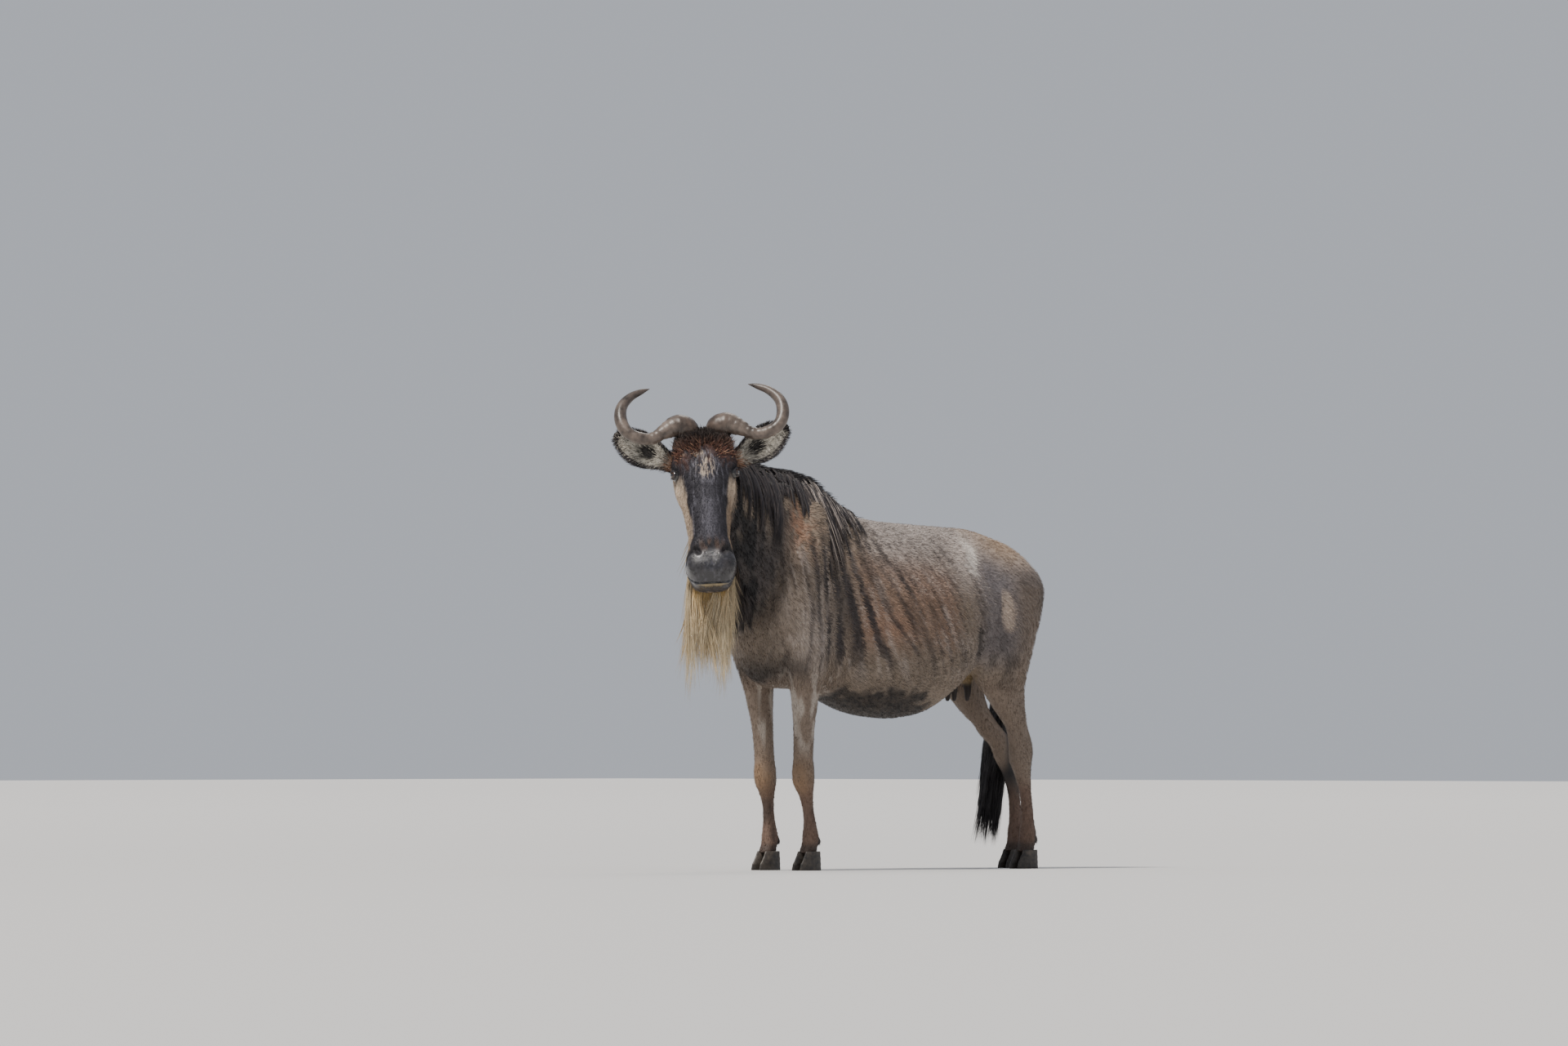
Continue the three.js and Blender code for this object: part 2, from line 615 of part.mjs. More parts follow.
function addNode(name, solid, colour, parent = group) {
  const mesh = new THREE.Mesh(geometryOf(largest(solid)), coatMaterial(colour));
  mesh.name = name;
  parent.add(mesh);
}

const SIDES = { left: -1, right: 1 };
const torsoGrown = torsoSkin(GAP);
const headGrown = headSkin(GAP);
const earsAndHorns = (grow) => Object.values(SIDES).flatMap((side) => [horn(side, grow), earHull(side, grow)]);
const headCut = inWorld(joined([headGrown, ...beardHair(LOCK.clear), ...earsAndHorns(GAP)]));

// The trunk and neck are one mass, parted by a slanting cut through the shoulder.
const NECK_CUT = { top: [-262, 1230], foot: [-452, 700] };
function halfSpace(towardsHead) {
  const size = 3000;
  const slant = Math.atan2(NECK_CUT.foot[0] - NECK_CUT.top[0], NECK_CUT.top[1] - NECK_CUT.foot[1]);
  const block = new THREE.BoxGeometry(size, size, size);
  block.translate(towardsHead * -(size + GAP) / 2, 0, 0).rotateY(-slant);
  return solidOf(block.translate(NECK_CUT.top[0], 0, NECK_CUT.top[1]));
}
const mass = joined([torsoSkin(0), neckSkin(0)]);
const maneGrown = joined([...neckMane(LOCK.clear), ...torsoMane(LOCK.clear), ...throatHair(LOCK.clear)]);
const massGrown = joined([torsoGrown, neckSkin(GAP), maneGrown]);

const trunk = joined([mass, ...torsoMane(0)]).subtract(headCut).intersect(halfSpace(-1));
const neck = joined([mass, ...neckMane(0), ...throatHair(0)]).subtract(headCut).intersect(halfSpace(1));
addNode("torso", trunk, "coat");
addNode("neck", neck, "dark");

group.add(headGroup);
for (const [name, side] of Object.entries(SIDES)) {
  addNode(`horn_${name}`, horn(side).subtract(headGrown), "horn", headGroup);
  addNode(`ear_${name}`, ear(side).subtract(joined([headGrown, horn(side, GAP)])), "coat", headGroup);
  addNode(`eye_${name}`, ellipsoid(eyeCentre(side), Array(3).fill(EYE.radius), 12), "eye", headGroup);
}
addNode("head", joined([headFlesh(), ...beardHair(0)]), "face", headGroup);

for (const [name, side] of Object.entries(SIDES)) {
  addNode(`foreleg_${name}`, legSkin(FORE_ROWS, side, 0).subtract(joined([massGrown, trunk, neck])), "coat");
  addNode(`hindleg_${name}`, legSkin(HIND_ROWS[name], side, 0).subtract(torsoGrown), "coat");
  for (const [foot, x, y] of [["fore", FORE_X, FOOT_Y.fore], ["hind", HIND_X[name], FOOT_Y.hind]]) {
    addNode(`hoof_${foot}_${name}_inner`, solidOf(claw(x, side * (y - 17))), "hoof");
    addNode(`hoof_${foot}_${name}_outer`, solidOf(claw(x, side * (y + 17))), "hoof");
  }
}

const legsGrown = joined(Object.entries(SIDES).map(([name, side]) => legSkin(HIND_ROWS[name], side, GAP)));
addNode("udder", udderFlesh().subtract(torsoGrown).subtract(legsGrown), "udder");
addNode("tail", joined([solidOf(tube(DOCK_ROWS, 10, 14)), ...tailHair()]).subtract(torsoGrown).subtract(legsGrown), "dark");

group.position.set(...ORIGIN);
export default group;
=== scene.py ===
import math

import bmesh
import bpy
import numpy as np
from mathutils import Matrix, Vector


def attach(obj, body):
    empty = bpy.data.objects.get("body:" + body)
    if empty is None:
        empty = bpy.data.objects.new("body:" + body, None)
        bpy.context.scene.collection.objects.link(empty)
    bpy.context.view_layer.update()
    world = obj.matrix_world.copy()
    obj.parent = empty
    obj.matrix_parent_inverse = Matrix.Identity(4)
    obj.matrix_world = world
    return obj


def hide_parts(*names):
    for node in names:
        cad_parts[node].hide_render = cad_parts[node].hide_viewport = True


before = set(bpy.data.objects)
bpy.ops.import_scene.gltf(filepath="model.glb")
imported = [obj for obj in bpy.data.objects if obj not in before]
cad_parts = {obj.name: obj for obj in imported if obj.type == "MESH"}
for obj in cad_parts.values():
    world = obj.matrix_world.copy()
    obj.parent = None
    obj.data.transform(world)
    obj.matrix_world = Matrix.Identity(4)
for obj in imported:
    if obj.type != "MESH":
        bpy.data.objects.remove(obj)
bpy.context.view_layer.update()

bl_info = {
    "name": "Cow wildebeest",
    "version": (1, 0, 0),
    "blender": (4, 5, 0),
    "location": "View3D > Sidebar > Wildebeest",
    "description": "Skin, coat, mane, beard, tail, horns, eyes and hooves of a standing cow wildebeest",
    "category": "Object",
}

# Sizes are millimetres in the animal's own frame: nose towards -X, left side towards -Y, floor at Z 0.
# ORIGIN moves that frame onto the part's origin.
MM = 0.001
ORIGIN = np.array([50.0, 28.0, 0.0])
SIDES = {"left": -1, "right": 1}
# Feet: where they stand, how high the hooves are, and how far these reach ahead of the legs
FORE_X = -272
HIND_X = {"left": 696, "right": 845}
FOOT_Y = {"fore": 87, "hind": 95}
HOOF_TOP = 58
HOOF_AHEAD = 13
# The head's own frame: where it has its origin, and how it is turned, in degrees
POLL = np.array([-775.0, -117.0, 1338.0])
HEAD_TURN = {"yaw": 48, "pitch": 12, "roll": -3}
# The right eye in that frame, and how far the eyeball lies inside that radius and bulges in front
EYE_AT = np.array([45.0, 87.0, -118.0])
EYE_RADIUS = 18.5
EYE_INSET, EYE_BULGE = 0.8, 1.1
# Half the opening of the lids: above, below, and out to the corners, in degrees seen from the eye's centre
LID_GAPE = (27, 19)
LID_SPAN = 50
# How far the skin lies inside the solids, which stand for the outside of the coat
COAT_DEPTH = 4.0
HEAD_COAT_DEPTH = 2.0
LEG_COAT_DEPTH = 2.5
# The height where the legs' short coat ends, and the spacing of the stripes on shoulder and flank
LEG_TOP = 560
STRIPE_SPACING = [36, 27]

# The photo's frame: how far away and how wide it is at the animal, and where it looks.
VIEW_AZIMUTH = -46
VIEW_DISTANCE = 50.0
VIEW_WIDTH = 4.83
VIEW_TARGET = (-0.235, 0.0416, 1.070)
VIEW_HEIGHT = 0.45
SENSOR = 36.0

# The stage: floor, sky, and suns with their place, spread in degrees, power and colour
FLOOR_HALF = 60.0
FLOOR_TONES = (0.56, 0.55, 0.54, 1), (0.62, 0.61, 0.6, 1)
SKY_COLOUR = (0.78, 0.82, 0.9, 1)
SKY_POWER = 0.6
LIGHTS = (
    ("Key", (-3.6, -0.4, 5.4), 10, 4.2, (1.0, 0.95, 0.88)),
    ("Rim", (3.6, 2.2, 3.6), 24, 0.6, (1.0, 0.97, 0.92)),
)


# Curves and sections

def smooth(low, high, value):
    """Rises from 0 to 1 between low and high, or falls if high is the smaller."""
    share = np.clip((value - low) / (high - low), 0, 1)
    return share * share * (3 - 2 * share)


def band(value, low, high, soft):
    """1 between low and high and 0 outside, with soft edges."""
    return smooth(low - soft, low + soft, value) * (1 - smooth(high - soft, high + soft, value))


def near(points, centre, radii):
    """1 at a place and less with the distance from it."""
    return np.exp(-np.sum(((points - np.array(centre)) / np.array(radii)) ** 2, axis=-1))


def choose(mask, yes, no):
    """Rows of colours or vectors, taken from yes where the mask is set and else from no."""
    return np.where(mask[:, None], yes, no)


def unit(vectors):
    return vectors / np.maximum(np.linalg.norm(vectors, axis=-1, keepdims=True), 1e-9)


def spin(degrees, axis):
    c, s = math.cos(math.radians(degrees)), math.sin(math.radians(degrees))
    rows = {
        "x": [[1, 0, 0], [0, c, -s], [0, s, c]],
        "y": [[c, 0, s], [0, 1, 0], [-s, 0, c]],
        "z": [[c, -s, 0], [s, c, 0], [0, 0, 1]],
    }
    return np.array(rows[axis])


HEAD_SPIN = spin(HEAD_TURN["yaw"], "z") @ spin(HEAD_TURN["pitch"], "y") @ spin(HEAD_TURN["roll"], "x")


def from_head(points):
    return points @ HEAD_SPIN.T + POLL


def into_head(points):
    return (points - POLL) @ HEAD_SPIN


def hermite(stations, values, slopes, at):
    """Cubic curve through values with slopes at the stations, read at other stations."""
    i = np.clip(np.searchsorted(stations, at, side="right") - 1, 0, len(stations) - 2)
    h = stations[i + 1] - stations[i]
    t = ((at - stations[i]) / h)[..., None]
    h = h[..., None]
    t2, t3 = t * t, t ** 3
    return (values[i] * (2 * t3 - 3 * t2 + 1) + values[i + 1] * (3 * t2 - 2 * t3)
            + slopes[i] * h * (t3 - 2 * t2 + t) + slopes[i + 1] * h * (t3 - t2))


class Track:
    """Follows key rows smoothly and without overshoot. A row's first number is its station."""

    def __init__(self, rows):
        table = np.array(rows, float)
        self.stations = table[:, 0]
        self.values = table[:, 1:]
        secants = np.diff(self.values, axis=0) / np.diff(self.stations)[:, None]
        product = secants[:-1] * secants[1:]
        total = np.where(np.abs(secants[:-1] + secants[1:]) < 1e-9, 1, secants[:-1] + secants[1:])
        inner = np.where(product > 0, 2 * product / total, 0)
        self.slopes = np.vstack([secants[:1], inner, secants[-1:]])

    def __call__(self, at):
        at = np.clip(np.asarray(at, float), self.stations[0], self.stations[-1])
        return np.moveaxis(hermite(self.stations, self.values, self.slopes, at), -1, 0)


def curve_through(rows, count):
    """Points and sizes evenly along a smooth curve through rows that start with x, y, z."""
    table = np.array(rows, float)
    step = np.sqrt(np.linalg.norm(np.diff(table[:, :3], axis=0), axis=1))
    stations = np.concatenate([[0], np.cumsum(step)])
    slopes = np.gradient(table, stations, axis=0)
    fine = hermite(stations, table, slopes, np.linspace(0, stations[-1], count * 6))
    length = np.concatenate([[0], np.cumsum(np.linalg.norm(np.diff(fine[:, :3], axis=0), axis=1))])
    at = np.linspace(0, length[-1], count)
    return np.stack([np.interp(at, length, fine[:, k]) for k in range(table.shape[1])], axis=1)


def section(angles, power, pinch_top, pinch_bottom):
    """A rounded section: angle 0 is its left, 90 its top. Gives how far out and how far up."""
    c, s = np.cos(np.radians(angles)), np.sin(np.radians(angles))
    side = np.sign(c) * np.abs(c) ** (2 / power)
    rise = np.sign(s) * np.abs(s) ** (2 / power)
    pinch = np.where(rise > 0, pinch_top, pinch_bottom)
    return side * (1 - pinch * rise * rise), rise


# Torso: station x, height of back, height of underside, half width, widest line, pinch of the back
TORSO = Track([
    (-462, 840, 720, 40, 780, 0), (-448, 905, 640, 78, 780, 0), (-418, 985, 584, 112, 785, 0.1),
    (-360, 1110, 560, 138, 800, 0.25), (-290, 1196, 558, 155, 800, 0.42), (-220, 1207, 552, 166, 790, 0.45),
    (-150, 1167, 534, 182, 775, 0.35), (-82, 1123, 508, 200, 760, 0.24), (-10, 1096, 484, 220, 745, 0.16),
    (70, 1083, 470, 234, 738, 0.12), (153, 1075, 465, 239, 735, 0.09), (240, 1070, 474, 237, 742, 0.07),
    (320, 1066, 508, 228, 760, 0.06), (400, 1063, 566, 211, 788, 0.06), (480, 1060, 630, 191, 822, 0.08),
    (560, 1044, 688, 168, 850, 0.12), (644, 1012, 738, 142, 865, 0.15), (716, 968, 768, 110, 870, 0.15),
    (762, 930, 806, 70, 872, 0.1), (784, 900, 842, 28, 872, 0),
])
# Neck: station, top x y z, throat x y z, half width, turn to the left in degrees
NECK = Track([
    (0, -200, 0, 1195, -345, 0, 680, 112, 0), (1, -300, 0, 1224, -462, 0, 735, 116, 2),
    (2, -390, -2, 1236, -530, -5, 828, 104, 7), (3, -490, -6, 1256, -585, -12, 922, 92, 14),
    (4, -590, -14, 1290, -632, -18, 1010, 82, 24), (5, -664, -28, 1322, -672, -26, 1086, 76, 34),
    (6, -716, -68, 1318, -704, -52, 1140, 66, 44),
])
# Head, in its own frame: station z, x of the face, x of the jaw, half width, pinch of face and jaw
HEAD = Track([
    (-482, 44, 76, 30, 0, 0), (-474, 26, 96, 56, 0, 0.1), (-456, 5, 108, 71, 0, 0.2),
    (-422, -8, 112, 76, 0.02, 0.3), (-386, -10, 111, 74, 0.05, 0.36), (-348, -9, 113, 67, 0.1, 0.3),
    (-310, -11, 122, 64, 0.12, 0.28), (-270, -14, 140, 69, 0.12, 0.3), (-220, -17, 168, 77, 0.1, 0.35),
    (-170, -18, 186, 88, 0.08, 0.4), (-120, -17, 188, 95, 0.08, 0.4), (-75, -14, 172, 98, 0.1, 0.35),
    (-35, -9, 146, 95, 0.12, 0.3), (0, 0, 124, 86, 0.12, 0.3), (13, 16, 106, 64, 0.1, 0.2),
    (20, 38, 86, 34, 0, 0),
])
# Legs: height, x, distance from the middle, half length fore and aft, half width
FORE = [
    (HOOF_TOP - 6, FORE_X - HOOF_AHEAD, 87, 31, 30), (82, FORE_X - 4, 87, 26, 27), (108, FORE_X, 87, 29, 26),
    (140, FORE_X - 2, 87, 24, 21), (190, FORE_X - 9, 85, 21, 19), (232, FORE_X - 16, 83, 26, 24),
    (271, FORE_X - 25, 81, 36, 34), (305, FORE_X - 27, 81, 37, 35), (346, FORE_X - 28, 83, 34, 31),
    (440, FORE_X - 31, 89, 37, 33), (520, FORE_X - 35, 96, 48, 38), (590, FORE_X - 40, 102, 60, 45),
    (650, FORE_X - 42, 106, 82, 54), (720, FORE_X - 52, 107, 100, 61), (800, FORE_X - 68, 103, 106, 64),
    (880, FORE_X - 55, 97, 106, 62), (970, FORE_X - 25, 87, 94, 58), (1060, FORE_X + 12, 67, 76, 50),
    (1130, FORE_X + 38, 45, 52, 36), (1165, FORE_X + 46, 31, 20, 16),
]
THIGH = [
    (790, 538, 115, 178, 80), (860, 561, 103, 178, 82), (918, 575, 88, 156, 74),
    (968, 576, 70, 118, 54), (1008, 566, 55, 70, 34), (1030, 556, 45, 24, 14),
]
SHANK = {
    "left": [
        (295, 672, 96, 31, 26), (342, 659, 98, 44, 30), (385, 657, 99, 47, 28), (430, 646, 101, 46, 28),
        (500, 600, 106, 64, 38), (570, 561, 114, 96, 49), (640, 529, 122, 136, 62), (710, 520, 121, 162, 73),
    ],
    "right": [
        (295, 822, 96, 33, 26), (340, 806, 98, 47, 30), (382, 790, 99, 54, 28), (415, 752, 100, 60, 28),
        (455, 706, 102, 54, 31), (500, 662, 106, 60, 38), (576, 608, 114, 92, 50), (640, 569, 121, 131, 62),
        (710, 541, 121, 160, 73),
    ],
}


def hind_rows(name):
    """The key rows of a hind leg from its foot to the thigh. The two hind feet stand apart."""
    x = HIND_X[name]
    foot = [(HOOF_TOP - 6, x - HOOF_AHEAD, 96, 32, 30), (84, x - 4, 95, 28, 27), (114, x, 95, 30, 27),
            (150, x - 1, 95, 25, 21), (225, x - 8, 95, 23, 19)]
    return foot + SHANK[name] + THIGH


LEGS = {f"fore_{name}": Track(FORE) for name in SIDES}
LEGS |= {f"hind_{name}": Track(hind_rows(name)) for name in SIDES}
# Tail and horns: points on the middle line, and the radius there
DOCK = [
    (738, 0, 915, 30), (782, 4, 900, 26), (812, 26, 850, 21), (826, 66, 765, 17), (832, 112, 670, 14),
    (834, 150, 560, 12), (834, 176, 460, 10), (830, 186, 390, 7),
]
TAIL_END = 62
HORN = [
    (32, 24, 4, 23), (27, 49, 25, 36), (22, 80, 31, 35), (11, 118, 14, 24), (2, 156, -7, 18.5),
    (-4, 201, -4, 18.5), (0, 236, 21, 19.5), (10, 249, 60, 20), (24, 242, 100, 17.5),
    (38, 213, 133, 13.5), (49, 175, 152, 8.5), (54, 151, 160, 1.2),
]
HORN_RINGS, HORN_AROUND = 210, 44
EAR_ROOT, EAR_TIP = np.array([68.0, 84.0, -80.0]), np.array([74.0, 268.0, 28.0])
# Udder: its middle and its radii, and where its teats hang
UDDER = (456, 0, 630), (87, 73, 51)
TEATS = [(426, -34), (426, 34), (484, -36), (484, 36)]
# Claw: height, how far back, half length and half width, and how far it stands from the foot's middle
CLAW = Track([
    (0, -6, 46, 15.5), (14, -5, 44, 15.5), (HOOF_TOP - 22, 1, 37, 14.5), (HOOF_TOP + 1, 6, 30, 13.5),
])
CLAW_OFF = 17
CLAW_INSET = 0.6
# The rounded edge of the sole: heights of its rings, and how far in they lie
SOLE_HEIGHTS, SOLE_INSETS = [0.0, 0.0, 0.6, 2.0], [6.0, 1.6, 0.5, 0.0]
CLAW_RINGS = 40
# Ear: share of its length, half width, depth, hollow, and the angles round its outside and its hollow
EAR = Track([
    (0, 27, 26, 0.15), (0.12, 28, 26, 0.3), (0.26, 37, 27, 0.62), (0.42, 49, 25, 0.85), (0.58, 53, 21, 0.95),
    (0.74, 46, 16, 1), (0.88, 31, 10, 1), (0.96, 17, 6, 1), (1, 5, 4, 1),
])
EAR_RINGS = 60
EAR_OUTER = np.radians(np.linspace(-90, 90, 33))
EAR_INNER = np.radians(np.linspace(86, -86, 31))


# Places on the solids, by a station, an angle round it and how far outside

def torso_point(x, angle, grow=0.0):
    top, bottom, half, middle, pinch = TORSO(x)
    side, rise = section(angle, 2.15, pinch, 0.06)
    reach = np.where(rise > 0, top - middle, middle - bottom)
    return np.stack([x + 0 * side, -side * (half + grow), middle + rise * (reach + grow)], axis=-1)


def neck_point(station, angle, grow=0.0):
    tx, ty, tz, bx, by, bz, half, yaw = NECK(station)
    side, rise = section(angle, 2.1, 0.38, 0.28)
    top, bottom = np.stack([tx, ty, tz], -1), np.stack([bx, by, bz], -1)
    up = (top - bottom) / 2
    left = np.stack([np.sin(np.radians(yaw)), -np.cos(np.radians(yaw)), 0 * yaw], -1)
    stretch = rise * (1 + grow / np.linalg.norm(up, axis=-1))
    return (top + bottom) / 2 + up * stretch[..., None] + left * (side * (half + grow))[..., None]


def head_point(z, angle, grow=0.0):
    face, jaw, half, pinch_face, pinch_jaw = HEAD(z)
    side, rise = section(angle, 2.4, pinch_face, pinch_jaw)
    middle = face + (jaw - face) * 0.45
    reach = np.where(rise > 0, middle - face, jaw - middle)
    return np.stack([middle - rise * (reach + grow), -side * (half + grow), z + 0 * side], axis=-1)


def leg_point(track, side):
    def at(z, angle, grow=0.0):
        x, y, long, wide = track(z)
        across, along = section(angle, 2.15, 0.0, 0.0)
        beside = side * (y + across * (wide + grow))
        return np.stack([x + along * (long + grow), beside, z + 0 * across], axis=-1)
    return at


def ear_frame(side):
    """An ear's root and whole axis, and the directions along it, out of its hollow and across it."""
    root, tip = EAR_ROOT * [1, side, 1], EAR_TIP * [1, side, 1]
    axis = tip - root
    along = unit(axis)
    face = np.array([-0.93, side * 0.1, -0.3])
    face = unit(face - face @ along * along)
    return root, axis, along, face, np.cross(along, face)


def ear_middle(root, axis, share):
    """The middle line of an ear, which sags a little."""
    return root + share[:, None] * axis + np.sin(share * math.pi)[:, None] * [0, 0, -5.0]


# Closed surfaces, as points and faces

def shell(rings):
    """A closed surface through rings of points, with a fan of triangles over each end."""
    rings = np.asarray(rings)
    count, around = rings.shape[:2]
    points = np.vstack([rings.reshape(-1, 3), rings[0].mean(0), rings[-1].mean(0)])
    i, j = np.meshgrid(np.arange(count - 1) * around, np.arange(around), indexing="ij")
    k = (j + 1) % around
    quads = np.stack([i + j, i + k, i + around + k, i + around + j], -1).reshape(-1, 4)
    j = np.arange(around)
    k = (j + 1) % around
    last = (count - 1) * around
    first_cap = np.stack([k, j, 0 * j + len(points) - 2], 1)
    last_cap = np.stack([last + j, last + k, 0 * j + len(points) - 1], 1)
    return points, quads.tolist() + first_cap.tolist() + last_cap.tolist()


def loft(point_at, track, steps, around, grow):
    stations = np.linspace(track.stations[0], track.stations[-1], steps)
    angles = np.linspace(0, 360, around, endpoint=False)
    return shell(point_at(stations[:, None] + 0 * angles, angles + 0 * stations[:, None], grow))


def ball(centre, radii, rings=18):
    tilt = np.linspace(0.02, math.pi - 0.02, rings)[:, None]
    turn = np.linspace(0, 2 * math.pi, rings * 2, endpoint=False)
    ring = np.stack([np.sin(tilt) * np.cos(turn), np.sin(tilt) * np.sin(turn), np.cos(tilt) + 0 * turn], -1)
    return shell(ring * np.array(radii) + np.array(centre))


def tube(rows, count, around, groove=None):
    """A round tube along rows of x, y, z and radius, whose radius a groove function may change."""
    rows = curve_through(rows, count)
    middle, radius = rows[:, :3], rows[:, 3]
    along = unit(np.gradient(middle, axis=0))
    first = unit(np.cross(along, [0.13, 0.05, 1.0] if abs(along[:, 2]).max() < 0.97 else [1.0, 0.1, 0.0]))
    second = np.cross(along, first)
    turn = np.linspace(0, 2 * math.pi, around, endpoint=False)
    if groove is not None:
        radius = radius + groove(np.linspace(0, 1, count))
    offset = first[:, None] * np.cos(turn)[None, :, None] + second[:, None] * np.sin(turn)[None, :, None]
    return shell(middle[:, None] + offset * radius[:, None, None])


def add_object(name, mesh, material):
    """Puts a finished mesh into the scene as a smooth, painted piece that rides on the part."""
    mesh.shade_smooth()
    mesh.materials.append(material)
    obj = bpy.data.objects.new(name, mesh)
    bpy.context.scene.collection.objects.link(obj)
    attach(obj, "root")
    return obj


def make_object(name, parts, material):
    """One mesh object from closed surfaces in the animal's frame, with all its faces turned outwards."""
    points, faces = [], []
    count = 0
    for part_points, part_faces in parts:
        points.append(part_points)
        faces.extend([[v + count for v in face] for face in part_faces])
        count += len(part_points)
    mesh = bpy.data.meshes.new(name)
    mesh.from_pydata(((np.vstack(points) + ORIGIN) * MM).tolist(), [], faces)
    build = bmesh.new()
    build.from_mesh(mesh)
    bmesh.ops.recalc_face_normals(build, faces=build.faces)
    build.to_mesh(mesh)
    build.free()
    return add_object(name, mesh, material)


def read(items, name, width, kind=float):
    """The rows of one property of a mesh's points, edges or triangles."""
    flat = np.empty(len(items) * width, kind)
    items.foreach_get(name, flat)
    return flat.reshape(-1, width)


def mesh_points(mesh):
    return read(mesh.vertices, "co", 3) / MM - ORIGIN


def set_points(mesh, points):
    mesh.vertices.foreach_set("co", ((points + ORIGIN) * MM).ravel())
    mesh.update()


def mesh_normals(mesh):
    return read(mesh.vertex_normals, "vector", 3)


def mesh_edges(mesh):
    return read(mesh.edges, "vertices", 2, int)


def relax(points, edges, rounds, strength):
    """Moves each point towards its neighbours, by a strength from 0 to 1 for each point."""
    count = len(points)
    degree = np.bincount(edges.ravel(), minlength=count)[:, None]
    for _ in range(rounds):
        total = np.stack([
            np.bincount(edges[:, 0], points[edges[:, 1], k], count)
            + np.bincount(edges[:, 1], points[edges[:, 0], k], count) for k in range(3)], 1)
        points = points + (total / degree - points) * strength[:, None]
    return points


def paint(mesh, name, colours):
    layer = mesh.color_attributes.new(name, "FLOAT_COLOR", "POINT")
    rgba = np.ones((len(colours), 4))
    rgba[:, :3] = colours
    layer.data.foreach_set("color", rgba.ravel())


def mark(mesh, name, values):
    layer = mesh.attributes.new(name, "FLOAT", "POINT")
    layer.data.foreach_set("value", values)


# Seeded noise

def noise(points, size, seed=0.0):
    """Smooth noise from 0 to 1, whose grain is size millimetres across, or one size for each axis."""
    at = points / np.array(size) + seed * 17.3
    cell = np.floor(at)
    part = at - cell
    part = part * part * (3 - 2 * part)
    total = 0
    for corner in range(8):
        step = np.array([corner & 1, corner >> 1 & 1, corner >> 2 & 1])
        key = (cell + step) @ np.array([127.1, 311.7, 74.7])
        value = np.modf(np.abs(np.sin(key) * 43758.5453))[0]
        total = total + value * np.prod(np.where(step, part, 1 - part), axis=-1)
    return total


def specks(points, size, seed, low, high):
    """Noise with more contrast: 0 up to one of its levels and 1 from another."""
    return smooth(low, high, noise(points, size, seed))


# Shape of the skin: swellings and hollows, as a place on the left side, its reach and how far it stands out
BODY_FORMS = [
    ((342, -172, 985), (34, 40, 30), 13), ((250, -190, 955), (80, 70, 50), -7),
    ((470, -170, 830), (70, 60, 70), 8), ((722, -88, 855), (40, 40, 40), 9),
    ((560, -160, 740), (90, 60, 90), 6), ((-420, -120, 775), (45, 50, 50), 12),
    ((-252, -150, 600), (26, 40, 34), 10), ((-330, -165, 720), (60, 60, 80), 7),
    ((-250, -120, 1010), (34, 70, 90), 6), ((-190, -130, 985), (24, 80, 120), -7),
    ((310, -205, 800), (90, 70, 90), -8), ((430, -200, 930), (60, 60, 40), -5),
    ((600, -150, 930), (60, 60, 40), -5), ((-300, -70, 322), (14, 40, 22), -3),
    ((-300, -95, 300), (40, 12, 30), 3), ((-246, -82, 322), (12, 24, 26), 6),
    ((692, -98, 362), (16, 24, 30), 7), ((668, -99, 425), (16, 50, 40), -6),
]
# Creases and ridges, from one point to another on the left side, their breadth and how far they stand out
BODY_LINES = [
    ((-196, -180, 930), (-216, -165, 600), 17, -11), ((360, -205, 744), (402, -180, 596), 14, -17),
    ((-225, -100, 1120), (-345, -165, 830), 26, 7), ((40, 0, 1085), (620, 0, 1030), 16, 4),
    ((610, -160, 860), (640, -130, 560), 22, -7), ((-350, -150, 660), (-330, -130, 540), 14, -4),
    ((-262, -108, 260), (-258, -108, 140), 6, -3), ((688, -117, 270), (690, -116, 150), 6, -3),
    ((-262, -66, 260), (-258, -66, 140), 6, -3), ((688, -74, 270), (690, -74, 150), 6, -3),
    ((-455, -95, 800), (-400, -120, 640), 20, -6), ((-560, -95, 1020), (-400, -125, 850), 26, -6),
    ((450, -180, 900), (500, -185, 700), 20, -4), ((-150, -200, 560), (350, -190, 560), 30, -3),
]
# The same in the head's frame, on its right side
FACE_FORMS = [
    ((40, 96, -86), (34, 30, 18), 9), ((30, 92, -148), (20, 20, 12), 3), ((16, 66, -40), (30, 26, 40), 6),
    ((110, 80, -160), (45, 40, 60), 6), ((95, 90, -250), (40, 40, 40), -6),
    ((20, 62, -210), (24, 24, 60), -4), ((-14, 0, -60), (40, 40, 40), 3),
    ((-18, 0, -250), (30, 26, 120), 3), ((-10, 54, -342), (20, 20, 15), 9),
    ((0, 70, -384), (22, 18, 34), 6), ((-14, 0, -362), (14, 40, 16), -5), ((20, 0, -468), (30, 44, 12), 3),
    ((20, 74, -462), (60, 22, 26), -9), ((6, 30, -398), (24, 26, 22), 4), ((-6, 0, -428), (30, 64, 34), 10),
    ((4, 58, -414), (28, 26, 36), 7), ((60, 62, -410), (26, 24, 26), 5), ((-14, 38, -300), (16, 20, 30), -3),
]
FACE_LINES = [
    ((58, 84, -165), (44, 66, -300), 11, 4), ((2, 90, -100), (-12, 52, -60), 14, 4),
    ((60, 94, -140), (74, 84, -190), 5, -2.5), ((40, 92, -146), (30, 86, -162), 4, -2),
    ((-14, 0, -396), (8, 0, -460), 4, -3),
]
# The nostril's comma and the line of the mouth, as points on the face
NOSTRIL = head_point(np.array([-370.0, -359, -361, -374, -394]), np.array([120.0, 131, 146, 160, 170]), 3.0)
MOUTH = head_point(np.array([-464.0, -463, -458, -446, -426]), np.array([90.0, 122, 150, 172, 188]), 1.0)


